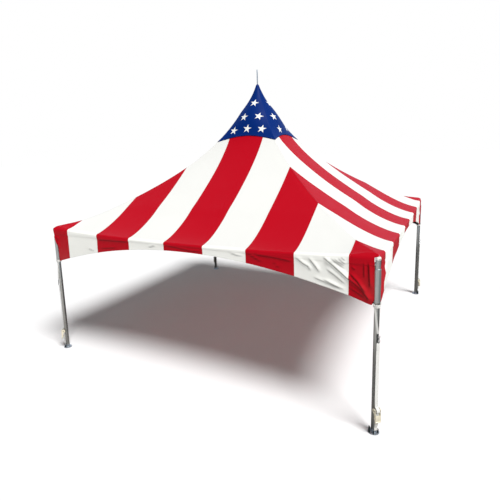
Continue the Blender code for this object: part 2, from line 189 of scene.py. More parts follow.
class Graph:
    """Node graph of one material, round its Principled shader."""

    def __init__(self, name: str) -> None:
        """Start a material with a lone Principled shader."""
        self.material = bpy.data.materials.new(name)
        self.material.use_nodes = True
        self.tree = self.material.node_tree
        self.shader = self.tree.nodes["Principled BSDF"]

    def node(self, kind: str, settings: dict | None = None,
             inputs: dict | None = None) -> bpy.types.Node:
        """Add a node.

        Args:
            kind: the node's type.
            settings: its properties, set first; "stops" gives a ramp's positions and colours.
            inputs: a number, colour, vector or value for each socket, by name or number.

        Returns:
            The node.
        """
        made = self.tree.nodes.new(kind)
        for key, setting in (settings or {}).items():
            if key == "stops":
                while len(made.color_ramp.elements) < len(setting):
                    made.color_ramp.elements.new(1.0)
                for element, (position, colour) in zip(made.color_ramp.elements, setting):
                    element.position = position
                    element.color = (*colour, 1.0)
            else:
                setattr(made, key, setting)
        for key, given in (inputs or {}).items():
            self.feed(made.inputs[key], given)
        return made

    def feed(self, socket: bpy.types.NodeSocket, given: object) -> None:
        """Link a value to a socket, or set it there."""
        if isinstance(given, Value):
            self.tree.links.new(given.socket, socket)
        elif isinstance(given, tuple) and len(given) == 3 and socket.type == "RGBA":
            socket.default_value = (*given, 1.0)
        else:
            socket.default_value = given

    def value(self, kind: str, settings: dict | None = None, inputs: dict | None = None,
              output: str | int = 0) -> Value:
        """Add a node and take one of its outputs."""
        return Value(self, self.node(kind, settings, inputs).outputs[output])

    def math(self, operation: str, *values: Number) -> Value:
        """Add a Math node."""
        return self.value("ShaderNodeMath", {"operation": operation}, dict(enumerate(values)))

    def mix(self, factor: Number, first: object, second: object) -> Value:
        """Mix two colours; the factor is the share of the second."""
        return self.value("ShaderNodeMix", {"data_type": "RGBA"}, {0: factor, 6: first, 7: second}, 2)

    def shade(self, colour: object, factor: Number) -> Value:
        """Multiply a colour by a grey level."""
        grey = self.value("ShaderNodeCombineColor", None, {"Red": factor, "Green": factor, "Blue": factor})
        settings = {"data_type": "RGBA", "blend_type": "MULTIPLY"}
        return self.value("ShaderNodeMix", settings, {0: 1.0, 6: colour, 7: grey}, 2)

    def place(self) -> Value:
        """Object coordinates."""
        return self.value("ShaderNodeTexCoord", output="Object")

    def chart(self, name: str = "UVMap") -> Value:
        """One of the piece's own UV maps."""
        return self.value("ShaderNodeUVMap", {"uv_map": name})

    def parts(self, vector: Value) -> tuple[Value, Value, Value]:
        """Split a vector into x, y and z."""
        made = self.node("ShaderNodeSeparateXYZ", None, {0: vector})
        return tuple(Value(self, socket) for socket in made.outputs)

    def stretch(self, vector: Value, scale: tuple[float, float, float]) -> Value:
        """Scale a vector along each axis."""
        return self.value("ShaderNodeVectorMath", {"operation": "MULTIPLY"}, {0: vector, 1: scale})

    def cloud(self, vector: Value, scale: float, detail: float = 2.0, roughness: float = 0.5) -> Value:
        """Noise from 0 to 1."""
        inputs = {"Vector": vector, "Scale": scale, "Detail": detail, "Roughness": roughness}
        return self.value("ShaderNodeTexNoise", None, inputs)

    def finish(self, colour: object, roughness: Number, metallic: Number = 0.0,
               height: Value | None = None, bump: float = 1.0, **constants: object) -> bpy.types.Material:
        """Feed the shader.

        Args:
            colour: base colour.
            roughness: a number or a value.
            metallic: a number or a value.
            height: relief in metres for a Bump node.
            bump: that node's strength.
            constants: other sockets of the shader, with _ for a space, each the same all over.

        Returns:
            The material.
        """
        self.feed(self.shader.inputs["Base Color"], colour)
        self.feed(self.shader.inputs["Roughness"], roughness)
        self.feed(self.shader.inputs["Metallic"], metallic)
        if height is not None:
            inputs = {"Height": height, "Distance": 1.0, "Strength": bump}
            self.feed(self.shader.inputs["Normal"], self.value("ShaderNodeBump", None, inputs))
        for key, constant in constants.items():
            self.feed(self.shader.inputs[key.replace("_", " ")], constant)
        return self.material


# Finishes
@dataclass
class Finish:
    """A finish that is made once and handed to each piece that takes it."""

    slot: str
    name: str = "finish"
    made: bpy.types.Material | None = field(default=None, repr=False)

    def build(self, graph: Graph) -> bpy.types.Material:
        """Wire the graph of the material."""
        raise NotImplementedError

    @property
    def material(self) -> bpy.types.Material:
        """Material of this finish."""
        if self.made is None:
            self.made = self.build(Graph(self.name))
        return self.made


@dataclass
class Vinyl(Finish):
    """Coated fabric: faint scrim weave, soft sheen, slight cloudiness and dust."""

    slot: str = "roof_fabric"
    weave_pitch: float = 0.004

    def relief(self, graph: Graph, across: Value, along: Value) -> Value:
        """Height of the scrim's threads and the fabric's slow waves."""
        pitch = math.tau / self.weave_pitch
        threads = graph.math("SINE", across * pitch) + graph.math("SINE", along * pitch)
        return threads * 0.000018 + graph.cloud(graph.place(), 5.0, 3.0) * 0.0016

    def gloss(self, graph: Graph) -> Value:
        """Roughness of the coating."""
        return graph.cloud(graph.place(), 3.2, 4.0) * 0.12 + 0.40


@dataclass
class StripedVinyl(Vinyl):
    """Red and white widths of fabric that are welded side by side."""

    name: str = "striped_vinyl"
    width: float = 0.762
    weld: float = 0.024
    red: tuple[float, float, float] = (0.440, 0.0016, 0.0100)
    white: tuple[float, float, float] = (0.900, 0.900, 0.850)
    # the roof's white, darker than the valance's: painted shade that holds back the roof's stronger light
    roof_white_shaded: tuple[float, float, float] = (0.765, 0.765, 0.735)

    def build(self, graph: Graph) -> bpy.types.Material:
        """Stripes, welds, hip seams, dust, and painted shade in folds, along hips and on the roof's white."""
        across, along, _ = graph.parts(graph.chart())
        east, north, _ = graph.parts(graph.place())
        wave = graph.math("PINGPONG", abs(across) / self.width + 1.0, 1.0)
        red = wave.fade(0.4985, 0.5015)
        from_edge = abs(wave - 0.5) * self.width
        weld = from_edge.fade(self.weld / 2 + 0.001, self.weld / 2)
        edge = from_edge.fade(0.0025, 0.0005)
        hip = abs(abs(east) - abs(north))
        roof = along.fade(-0.002, 0.002)
        hip_fold_and_shade = hip.fade(0.008, 0.002) * roof
        hip_tape = hip.fade(0.032, 0.030) * roof
        haze = graph.cloud(graph.place(), 1.1, 5.0, 0.6)
        # painted shade under the valance's folds, read from the second map
        fold_shade = graph.parts(graph.chart("FoldMap"))[0]
        dust = (0 - along).fade(0.15, 0.75) * haze.fade(0.35, 0.75)
        # the roof takes the darker white, as painted shade
        colour = graph.mix(red, graph.mix(along.fade(-0.010, 0.060), self.white, self.roof_white_shaded), self.red)
        # the last factor paints shade under the folds; haze, welds and stripe edges are the fabric's own tone
        colour = graph.shade(colour, (1.0 - 0.05 * haze - 0.025 * weld - 0.05 * edge) * (1.0 - 0.76 * fold_shade))
        colour = graph.mix(dust * 0.10, colour, (0.36, 0.32, 0.27))
        # dark line along each hip: painted shade in its fold, together with the dark of the seam
        colour = graph.mix(hip_fold_and_shade * (0.18 + 0.50 * red), colour, (0.17, 0.012, 0.02))
        height = (self.relief(graph, across, along) + weld * 0.0005 + hip_tape * 0.0006 - hip_fold_and_shade * 0.0015)
        return graph.finish(colour, self.gloss(graph), height=height,
                            Specular_IOR_Level=0.06)


@dataclass
class StarredVinyl(Vinyl):
    """Blue fabric with white five-pointed stars, printed at the places of a second map."""

    slot: str = "cap_fabric"
    name: str = "starred_vinyl"
    blue: tuple[float, float, float] = (0.0001, 0.019, 0.150)
    white: tuple[float, float, float] = (0.900, 0.900, 0.850)
    inner: float = 0.375
    hem: float = 0.030

    def star(self, graph: Graph) -> Value:
        """Mask of the star, from coordinates in star radii."""
        right, up, _ = graph.parts(graph.chart("StarMap"))
        fifth = math.tau / 5
        angle = abs((graph.math("ARCTAN2", right, up) + fifth / 2) % fifth - fifth / 2)
        reach = graph.math("SQRT", right * right + up * up)
        side, top = reach * graph.math("SINE", angle), reach * graph.math("COSINE", angle)
        notch = Vector((self.inner * math.sin(fifth / 2), self.inner * math.cos(fifth / 2)))
        edge = notch - Vector((0, 1))
        normal = Vector((-edge.y, edge.x)).normalized()
        outside = side * normal.x + (top - 1.0) * normal.y
        return outside.fade(0.012, -0.012)

    def build(self, graph: Graph) -> bpy.types.Material:
        """Field, stars and hem."""
        across, along, _ = graph.parts(graph.chart())
        star = self.star(graph)
        haze = graph.cloud(graph.place(), 1.6, 5.0, 0.6)
        stitches = graph.math("SINE", across * (math.tau / 0.006)).fade(-0.2, 0.2)
        thread = abs(along - self.hem).fade(0.0014, 0.0008) * stitches
        colour = graph.mix(star, self.blue, self.white)
        colour = graph.shade(colour, 1.0 - 0.10 * haze)
        colour = graph.mix(thread * 0.5, colour, (0.10, 0.14, 0.30))
        height = (self.relief(graph, across, along) - thread * 0.0006
                  + along.fade(self.hem + 0.001, self.hem - 0.001) * 0.0005)
        return graph.finish(colour, self.gloss(graph), height=height,
                            Specular_IOR_Level=0.055)


@dataclass
class DrawnTube(Finish):
    """Mill-finish aluminium tube: lines along its length, dull bands and handling marks."""

    slot: str = "aluminium"
    name: str = "drawn_aluminium"

    def build(self, graph: Graph) -> bpy.types.Material:
        """Streaks along the tube, scuffs and oxide bloom."""
        chart = graph.chart()
        streaks = graph.cloud(graph.stretch(chart, (900.0, 1.2, 1.0)), 1.0, 4.0, 0.65)
        bloom = graph.cloud(graph.place(), 7.0, 5.0, 0.6)
        scuffs = graph.cloud(graph.stretch(chart, (60.0, 260.0, 1.0)), 1.0, 3.0).fade(0.66, 0.74)
        tone = 0.78 + 0.30 * streaks - 0.16 * bloom - 0.12 * scuffs
        colour = graph.shade((0.44, 0.43, 0.40), tone)
        roughness = 0.22 + 0.12 * bloom + 0.14 * scuffs
        return graph.finish(colour, roughness, 1.0, streaks * 0.00012 - scuffs * 0.00006)


@dataclass
class CastAluminium(Finish):
    """Machined and welded aluminium fitting."""

    slot: str = "aluminium"
    name: str = "worked_aluminium"

    def build(self, graph: Graph) -> bpy.types.Material:
        """Satin skin with fine pits and cloudy oxide."""
        place = graph.place()
        grain = graph.cloud(place, 420.0, 3.0, 0.6)
        bloom = graph.cloud(place, 16.0, 5.0, 0.6)
        colour = graph.shade((0.47, 0.455, 0.42), 0.90 - 0.22 * bloom + 0.14 * grain)
        return graph.finish(colour, 0.34 + 0.16 * bloom, 1.0, grain * 0.00015)


@dataclass
class Galvanised(Finish):
    """Hot-dipped zinc: a mosaic of dull crystals with greyer wear."""

    slot: str = "galvanised_steel"
    name: str = "galvanised"
    zinc: tuple[float, float, float] = (0.50, 0.515, 0.53)
    metal: float = 0.95

    def build(self, graph: Graph) -> bpy.types.Material:
        """Crystals from cells, dulled by a cloud."""
        place = graph.place()
        cells = graph.value("ShaderNodeTexVoronoi", None, {"Vector": place, "Scale": 95.0}, "Color")
        grain, _, _ = graph.parts(cells)
        bloom = graph.cloud(place, 22.0, 5.0, 0.6)
        worn = graph.cloud(place, 60.0, 4.0, 0.7).fade(0.62, 0.72)
        colour = graph.shade(self.zinc, 0.78 + 0.26 * grain - 0.18 * bloom)
        colour = graph.mix(worn * 0.35, colour, tuple(level * 0.4 for level in self.zinc))
        roughness = 0.38 + 0.18 * grain + 0.16 * worn
        return graph.finish(colour, roughness, self.metal, grain * 0.00012 + bloom * 0.0004)


@dataclass
class MouldedCap(Finish):
    """White moulded cap, faintly pebbled and a little yellowed."""

    slot: str = "aluminium"
    name: str = "moulded_cap"

    def build(self, graph: Graph) -> bpy.types.Material:
        """Even colour with a fine grain."""
        place = graph.place()
        grain = graph.cloud(place, 600.0, 2.0)
        colour = graph.shade((0.86, 0.86, 0.80), 1.0 - 0.12 * graph.cloud(place, 40.0, 4.0))
        return graph.finish(colour, 0.42 + 0.1 * grain, height=grain * 0.0001)


@dataclass
class LaidWire(Finish):
    """Wire rope: strands that wind round the rope, with painted shade between them."""

    slot: str = "wire_rope"
    name: str = "laid_wire"
    strands: int = 6
    lay: float = 0.062
    girth: float = 0.0314

    def build(self, graph: Graph) -> bpy.types.Material:
        """Strands from the chart, whose x runs round the rope and y along it."""
        around, along, _ = graph.parts(graph.chart())
        turn = around / self.girth + along / self.lay
        bulge = abs(graph.math("SINE", turn * (math.pi * self.strands)))
        wires = abs(graph.math("SINE", (around / self.girth - along / (self.lay * 0.7)) * (math.pi * 26)))
        grime = graph.cloud(graph.place(), 40.0, 4.0)
        # bulge lifts the strands; in the colour it paints shade between them
        colour = graph.shade((0.50, 0.50, 0.51), 0.38 + 0.62 * bulge - 0.20 * grime)
        return graph.finish(colour, 0.42 + 0.2 * grime, 0.9, bulge * 0.0011 + wires * 0.00015)


@dataclass
class Webbing(Finish):
    """Polyester webbing: ribs across the strap, plain edges and grey handling marks."""

    slot: str = "webbing"
    name: str = "white_webbing"
    tone: tuple[float, float, float] = (0.80, 0.79, 0.75)
    rib: float = 0.0022

    def build(self, graph: Graph) -> bpy.types.Material:
        """Ribs and picks from the chart, whose x runs across the strap and y along it."""
        across, along, _ = graph.parts(graph.chart())
        ribs = abs(graph.math("SINE", along * (math.pi / self.rib)))
        picks = abs(graph.math("SINE", (across + along * 0.5) * (math.pi / 0.0034)))
        grime = graph.cloud(graph.place(), 26.0, 5.0, 0.65)
        low = graph.parts(graph.place())[2].fade(0.5, 0.05)
        colour = graph.shade(self.tone, 0.86 + 0.14 * ribs * picks - 0.12 * grime)
        colour = graph.mix(low * grime * 0.35, colour, (0.33, 0.29, 0.23))
        return graph.finish(colour, 0.85, height=ribs * 0.0004 + picks * 0.0002,
                            Sheen_Weight=0.15, Sheen_Roughness=0.5)


@dataclass
class YellowZinc(Finish):
    """Yellow-passivated zinc plate: gold that drifts to green and rose, rubbed pale on edges."""

    slot: str = "yellow_zinc"
    name: str = "yellow_zinc"

    def build(self, graph: Graph) -> bpy.types.Material:
        """Tints from a cloud, dulled by handling."""
        place = graph.place()
        drift = graph.cloud(place, 34.0, 3.0, 0.55)
        stops = [(0.30, (0.80, 0.75, 0.55)), (0.46, (0.86, 0.80, 0.60)), (0.58, (0.84, 0.74, 0.60)),
                 (0.72, (0.80, 0.78, 0.58))]
        tint = graph.value("ShaderNodeValToRGB", {"stops": stops}, {0: drift})
        rubbed = graph.cloud(place, 120.0, 4.0, 0.7).fade(0.60, 0.72)
        colour = graph.mix(rubbed * 0.4, tint, (0.78, 0.76, 0.70))
        return graph.finish(colour, 0.34 + 0.20 * rubbed, 0.35, rubbed * 0.0001)


VINYL = StripedVinyl("roof_fabric")
STARS = StarredVinyl("cap_fabric")
TUBE = DrawnTube("aluminium")
FITTING = CastAluminium("aluminium")
ZINCED = Galvanised("galvanised_steel")
BLACKED = Galvanised("galvanised_steel", "dark_steel", zinc=(0.030, 0.031, 0.031), metal=0.4)
CAP_WHITE = MouldedCap("aluminium")
WIRE = LaidWire("wire_rope")
WEB = Webbing("webbing")
# near-black webbing for a band that stands for the shade inside each corner
SHADE_WEB = Webbing("webbing", "shade_band_webbing", tone=(0.016, 0.016, 0.015))
GOLD = YellowZinc("yellow_zinc")


# Meshes
class Form:
    """One solid or sheet under construction, with operators that shape it."""

    def __init__(self) -> None:
        """Start an empty mesh with a UV map."""
        self.bm = bmesh.new()
        self.uv = self.bm.loops.layers.uv.new("UVMap")

    @classmethod
    def block(cls, low: Sequence[float], high: Sequence[float], bevel: float = 0.001) -> "Form":
        """Box between two corners, with rounded edges."""
        form = cls()
        size, centre = Vector(high) - Vector(low), (Vector(high) + Vector(low)) / 2
        matrix = Matrix.Translation(centre) @ Matrix.Diagonal((*size, 1.0))
        bmesh.ops.create_cube(form.bm, size=1.0, matrix=matrix)
        return form.soften(bevel)

    @classmethod
    def bar(cls, start: Sequence[float], end: Sequence[float], radius: float, steps: int = 20,
            bevel: float = 0.0008, tip: float | None = None) -> "Form":
        """Round bar between two points, which may taper to a tip's radius; 6 steps make a hexagon."""
        form = cls()
        start, end = Vector(start), Vector(end)
        turn = Vector((0, 0, 1)).rotation_difference(end - start).to_matrix().to_4x4()
        bmesh.ops.create_cone(form.bm, cap_ends=True, segments=steps, radius1=radius,
                              radius2=radius if tip is None else tip, depth=(end - start).length,
                              matrix=Matrix.Translation((start + end) / 2) @ turn)
        rims = [edge for edge in form.bm.edges if any(len(face.verts) == steps for face in edge.link_faces)]
        return form.soften(bevel, rims)

    @classmethod
    def turned(cls, profile: Iterable[Point], steps: int = 40, ring: bool = False,
               bevel: float = 0.0) -> "Form":
        """Turn a profile of (radius, z) points about the Z axis.

        Args:
            profile: points down the outer side; a point on the axis closes a pole.
            steps: segments of the full turn.
            ring: whether the last point joins the first.
            bevel: width of the rounding of the profile's corners.

        Returns:
            The closed solid, with a UV map of arc length and height.
        """
        form = cls()
        points = [form.bm.verts.new((radius, 0, z)) for radius, z in profile]
        edges = [form.bm.edges.new(pair) for pair in zip(points, points[1:])]
        if ring:
            edges.append(form.bm.edges.new((points[-1], points[0])))
        if bevel:
            inner = [v for v in points if len(v.link_edges) == 2]
            bmesh.ops.bevel(form.bm, geom=inner, offset=bevel, offset_type="OFFSET", segments=2,
                            profile=0.5, affect="VERTICES", material=-1)
        bmesh.ops.spin(form.bm, geom=form.bm.verts[:] + form.bm.edges[:], cent=(0, 0, 0), axis=(0, 0, 1),
                       angle=math.tau, steps=steps, use_merge=True)
        bmesh.ops.remove_doubles(form.bm, verts=form.bm.verts, dist=0.000005)
        return form.outward().chart_round()

    @classmethod
    def slab(cls, circles: Sequence[tuple[float, float, float]], thick: float, bevel: float = 0.0008,
             steps: int = 20) -> "Form":
        """Plate in the XZ plane that wraps circles, given as (x, z, radius); y runs from 0 to thick."""
        form = cls()
        for x, z, radius in circles:
            matrix = Matrix.Translation((x, 0, z)) @ Matrix.Rotation(math.pi / 2, 4, "X")
            bmesh.ops.create_circle(form.bm, segments=steps, radius=radius, matrix=matrix)
        bmesh.ops.convex_hull(form.bm, input=form.bm.verts)
        bmesh.ops.delete(form.bm, geom=form.bm.faces[:], context="FACES_ONLY")
        inside = [e for e in form.bm.edges if form.crosses(e, circles)]
        bmesh.ops.delete(form.bm, geom=inside, context="EDGES")
        loose = [v for v in form.bm.verts if len(v.link_edges) < 2]
        bmesh.ops.delete(form.bm, geom=loose, context="VERTS")
        bmesh.ops.contextual_create(form.bm, geom=form.bm.edges[:])
        return form.raised((0, thick, 0)).soften(bevel, sharp=60)

    @classmethod
    def rod(cls, radius: float, low: float, high: float, steps: int, bevel: float = 0.0) -> "Form":
        """Round rod or disc about the Z axis between two heights."""
        return cls.turned([(0, high), (radius, high), (radius, low), (0, low)], steps, bevel=bevel)

    @classmethod
    def outline(cls, points: Iterable[Point], thick: float, bevel: float = 0.0006) -> "Form":
        """Plate in the XZ plane with a given outline; y runs from 0 to thick."""
        form = cls()
        form.bm.faces.new([form.bm.verts.new((x, 0, z)) for x, z in points])
        return form.raised((0, thick, 0)).soften(bevel, sharp=20)

    @classmethod
    def washer_plate(cls, points: Sequence[Point], hole: tuple[float, float, float], thick: float,
                     bevel: float = 0.0006) -> "Form":
        """Plate in the XZ plane with an outline of evenly spread points and a round hole (x, z, radius)."""
        form = cls()
        centre_x, centre_z, radius = hole
        angles = [math.atan2(z - centre_z, x - centre_x) for x, z in points]
        loops = (points, [(centre_x + radius * math.cos(a), centre_z + radius * math.sin(a)) for a in angles])
        edges = []
        for loop in loops:
            verts = [form.bm.verts.new((x, 0, z)) for x, z in loop]
            edges += [form.bm.edges.new((a, b)) for a, b in zip(verts, verts[1:] + verts[:1])]
        bmesh.ops.bridge_loops(form.bm, edges=edges)
        return form.raised((0, thick, 0)).soften(bevel, sharp=50)

    @classmethod
    def eye_plate(cls, root: float, reach: float, z: float, inset: float) -> "Form":
        """Upright plate along +X, centred on it, with rounded corners and a hole for a shackle.

        Args:
            root: where it starts.
            reach: where it ends.
            z: height of its middle.
            inset: distance of the hole's centre from its end.

        Returns:
            The plate.
        """
        low, high, thick = z - 0.025, z + 0.025, 0.010
        points = [(root, low), (root + 0.012, low), (reach - 0.014, low + 0.002),
                  (reach - 0.004, low + 0.010), (reach, z - 0.006), (reach, z + 0.006),
                  (reach - 0.004, high - 0.010), (reach - 0.014, high - 0.002), (root + 0.012, high),
                  (root, high), (root, z + 0.010), (root, z - 0.010)]
        plate = cls.washer_plate(points, (reach - inset, z, 0.0075), thick)
        return plate.moved(Matrix.Translation((0, -thick / 2, 0)))

    @classmethod
    def ring(cls, radius: float, wire: float, steps: int = 32, sides: int = 12,
             arc: float = math.tau) -> "Form":
        """Ring of round wire in the XZ plane about the origin, or an arc of it that starts at +X."""
        form = cls()
        bmesh.ops.create_circle(form.bm, cap_ends=arc < math.tau, segments=sides, radius=wire,
                                matrix=Matrix.Translation((radius, 0, 0)))
        geometry = form.bm.verts[:] + form.bm.edges[:] + form.bm.faces[:]
        bmesh.ops.spin(form.bm, geom=geometry, cent=(0, 0, 0), axis=(0, -1, 0), angle=arc,
                       steps=steps, use_merge=arc >= math.tau)
        bmesh.ops.remove_doubles(form.bm, verts=form.bm.verts, dist=0.000005)
        return form.outward()

    @classmethod
    def grid(cls, columns: int, rows: int, place: Callable[[float, float], Sequence[float]],
             chart: Callable[[float, float], Point],
             splits: Iterable[Callable[[float, float], bool]] = ()) -> "Form":
        """Grid whose points are moved to a surface.

        Args:
            columns: faces across.
            rows: faces up.
            place: point for a pair of coordinates from -1 to 1.
            chart: UV for the same pair.
            splits: tests of a face's middle; each halves the faces that pass, before the move.

        Returns:
            The open sheet.
        """
        form = cls()
        bmesh.ops.create_grid(form.bm, x_segments=columns, y_segments=rows, size=1.0)
        for inside in splits:
            chosen = [e for e in form.bm.edges
                      if any(inside(*face.calc_center_median().xy) for face in e.link_faces)]
            bmesh.ops.subdivide_edges(form.bm, edges=chosen, cuts=1, use_grid_fill=True)
        for face in form.bm.faces:
            for loop in face.loops:
                loop[form.uv].uv = chart(loop.vert.co.x, loop.vert.co.y)
        for vertex in form.bm.verts:
            vertex.co = place(vertex.co.x, vertex.co.y)
        return form

    @classmethod
    def ribbon(cls, path: Sequence[Sequence[float]], width: float, thick: float,
               side: Sequence[float] = (0, 1, 0), columns: int = 8) -> "Form":
        """Flat webbing along a path, as wide as width to both sides of it along a direction."""
        path = [Vector(point) for point in path]
        side = Vector(side).normalized()
        lengths = [0.0]
        for a, b in zip(path, path[1:]):
            lengths.append(lengths[-1] + (b - a).length)
        last = len(path) - 1

        def spot(x: float, y: float) -> Vector:
            return path[round((y + 1) / 2 * last)] + side * (x * width / 2)

        def chart(x: float, y: float) -> Point:
            return x * width / 2, lengths[round((y + 1) / 2 * last)]

        form = cls.grid(columns, last, spot, chart)
        bmesh.ops.recalc_face_normals(form.bm, faces=form.bm.faces)
        bmesh.ops.solidify(form.bm, geom=form.bm.faces[:], thickness=thick)
        return form.outward()

    @staticmethod
    def crosses(edge: bmesh.types.BMEdge, circles: Sequence[tuple[float, float, float]]) -> bool:
        """Whether an edge lies inside the outline that wraps the circles."""
        middle = (edge.verts[0].co + edge.verts[1].co) / 2
        along = edge.verts[1].co - edge.verts[0].co
        normal = Vector((along.z, 0, -along.x)).normalized()
        sides = [(Vector((x, 0, z)) - middle).dot(normal) for x, z, _ in circles]
        reach = [radius for _, _, radius in circles]
        ahead = max(s + r for s, r in zip(sides, reach))
        behind = min(s - r for s, r in zip(sides, reach))
        return min(abs(ahead), abs(behind)) > 0.02 * max(reach)

    def raised(self, move: Sequence[float]) -> "Form":
        """Extrude the flat face by a vector into a closed solid."""
        made = bmesh.ops.extrude_face_region(self.bm, geom=self.bm.faces[:])
        moved = [item for item in made["geom"] if isinstance(item, bmesh.types.BMVert)]
        bmesh.ops.translate(self.bm, verts=moved, vec=Vector(move))
        return self.outward()

    def soften(self, width: float, edges: Sequence[bmesh.types.BMEdge] | None = None,
               sharp: float = 30, segments: int = 2) -> "Form":
        """Bevel the given edges, or those sharper than an angle in degrees."""
        if width <= 0:
            return self
        if edges is None:
            limit = math.radians(sharp)
            edges = [e for e in self.bm.edges if len(e.link_faces) == 2 and e.calc_face_angle() > limit]
        bmesh.ops.bevel(self.bm, geom=list(edges), offset=width, offset_type="OFFSET", segments=segments,
                        profile=0.5, affect="EDGES", clamp_overlap=True, material=-1)
        return self

    def outward(self) -> "Form":
        """Turn the faces outward."""
        bmesh.ops.recalc_face_normals(self.bm, faces=self.bm.faces)
        return self

    def chart_round(self) -> "Form":
        """Give a turned solid a UV map of arc length and height about its Z axis."""
        for face in self.bm.faces:
            middle = face.calc_center_median()
            base = math.atan2(middle.y, middle.x)
            for loop in face.loops:
                spot = loop.vert.co
                reach = math.hypot(spot.x, spot.y)
                angle = math.atan2(spot.y, spot.x) if reach > 0.00001 else base
                angle = base + (angle - base + math.pi) % math.tau - math.pi
                loop[self.uv].uv = (angle * max(reach, 0.001), spot.z)
        return self

    def moved(self, matrix: Matrix) -> "Form":
        """Transform the whole form."""
        bmesh.ops.transform(self.bm, matrix=matrix, verts=self.bm.verts)
        return self


@dataclass
class Piece:
    """A piece of the object: forms in one mesh, with one finish, on one body."""

    name: str
    finish: Finish
    body: str = TENT
    replaces: tuple[str, ...] = ()
    smooth: float = 32.0
    place: Matrix = field(default_factory=lambda: Matrix.Identity(4))
    bm: bmesh.types.BMesh = field(default_factory=bmesh.new)

    def add(self, *forms: Form) -> "Piece":
        """Take forms into the mesh at the piece's place."""
        for form in forms:
            form.moved(self.place)
            holder = bpy.data.meshes.new("holder")
            form.bm.to_mesh(holder)
            form.bm.free()
            self.bm.from_mesh(holder)
            bpy.data.meshes.remove(holder)
        return self

    def build(self) -> bpy.types.Object:
        """Make the object, dress it and hand it to the frame."""
        if self.place.determinant() < 0:
            bmesh.ops.reverse_faces(self.bm, faces=self.bm.faces)
        mesh = bpy.data.meshes.new(self.name)
        self.bm.to_mesh(mesh)
        self.bm.free()
        mesh.shade_smooth()
        mesh.set_sharp_from_angle(angle=math.radians(self.smooth))
        mesh.materials.append(self.finish.material)
        made = bpy.data.objects.new(self.name, mesh)
        bpy.context.scene.collection.objects.link(made)
        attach(made, self.body)
        if self.replaces:
            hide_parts(*self.replaces)
        log.info("%s: %d faces, %s", self.name, len(mesh.polygons), self.finish.name)
        return made


# Fabric
def hang(piece: Piece, merge: float, thickness: float, flat: Point) -> bpy.types.Object:
    """Args:
        piece: the cloth, with a form for each side.
        merge: how near two sides' points lie along a seam.
        thickness: of the cloth, laid on its inner side.
        flat: width and length that it is cut from; not used.

    Returns:
        The cloth.
    """
    bmesh.ops.remove_doubles(piece.bm, verts=piece.bm.verts, dist=merge)
    bmesh.ops.recalc_face_normals(piece.bm, faces=piece.bm.faces)
    area = sum(face.calc_area() for face in piece.bm.faces)
    cloth = piece.build()
    wall = cloth.modifiers.new("thickness", "SOLIDIFY")
    wall.thickness = thickness
    wall.offset = -1.0
    log.info("%s: %.1f square metres", piece.name, area)
    return cloth


@dataclass(frozen=True)
class RoofShape:
    """Surface of the roof: a sweep and a flare from the eaves to the crown."""

    crown_r: float = 0.030
    peak_z: float = 5.224
    eave_droop: float = 0.075
    sweep_power: float = 1.424
    flare_power: float = 7.56
    flare_share: float = 0.275
    face_bulge: float = 0.036
    bulge_end: float = 0.753
    droop_start: float = 0.70
    round_until: float = 0.28
    corner_rise: float = 0.030
    corner_from: float = 2.45
    corner_over: float = 0.50
    cap_bulge: float = 0.34
    cap_full_below: float = 0.66
    cap_full_over: float = 0.40
    cap_corner: float = 0.655
    cap_arc: float = 0.06

    def height(self, radius: float, across: float) -> float:
        """Height at a distance from the mast.

        Args:
            radius: distance from the mast, square to the eave.
            across: -1 to 1 between the hips.

        Returns:
            Height above the ground.
        """
        t = min(max((radius - self.crown_r) / (PLAN.eave_half - self.crown_r), 0.0), 1.0)
        profile = ((1 - self.flare_share) * (1 - t) ** self.sweep_power
                   + self.flare_share * (1 - t) ** self.flare_power)
        fall = min(max((t - self.droop_start) / (1 - self.droop_start), 0.0), 1.0)
        face = (self.face_bulge * math.sin(math.pi * min(t / self.bulge_end, 1.0))
                - self.eave_droop * fall * (2 - fall))
        corner = (smooth_step((radius - self.corner_from) / self.corner_over)
                  * smooth_step((abs(across) * radius - self.corner_from) / self.corner_over))
        return (PLAN.eave_z + (self.peak_z - PLAN.eave_z) * profile + face * (1 - across * across)
                + self.corner_rise * corner)

    def point(self, radius: float, across: float) -> Vector:
        """Point of the front side, whose square section turns round towards the crown."""
        square = smooth_step((radius - self.crown_r) / (self.round_until - self.crown_r))
        shrink = square + (1 - square) / math.sqrt(1 + across * across)
        under_cap = smooth_step((self.cap_full_below - radius) / self.cap_full_over)
        full = 1 + self.cap_bulge * square * (1 - across * across) * under_cap
        return Vector((across * radius * shrink, -radius * shrink * full, self.height(radius, across)))

    def cap_edge(self, across: float) -> float:
        """Distance from the mast to the cap's lower edge."""
        return self.cap_corner - self.cap_arc * (1 - across * across)


ROOF = RoofShape()


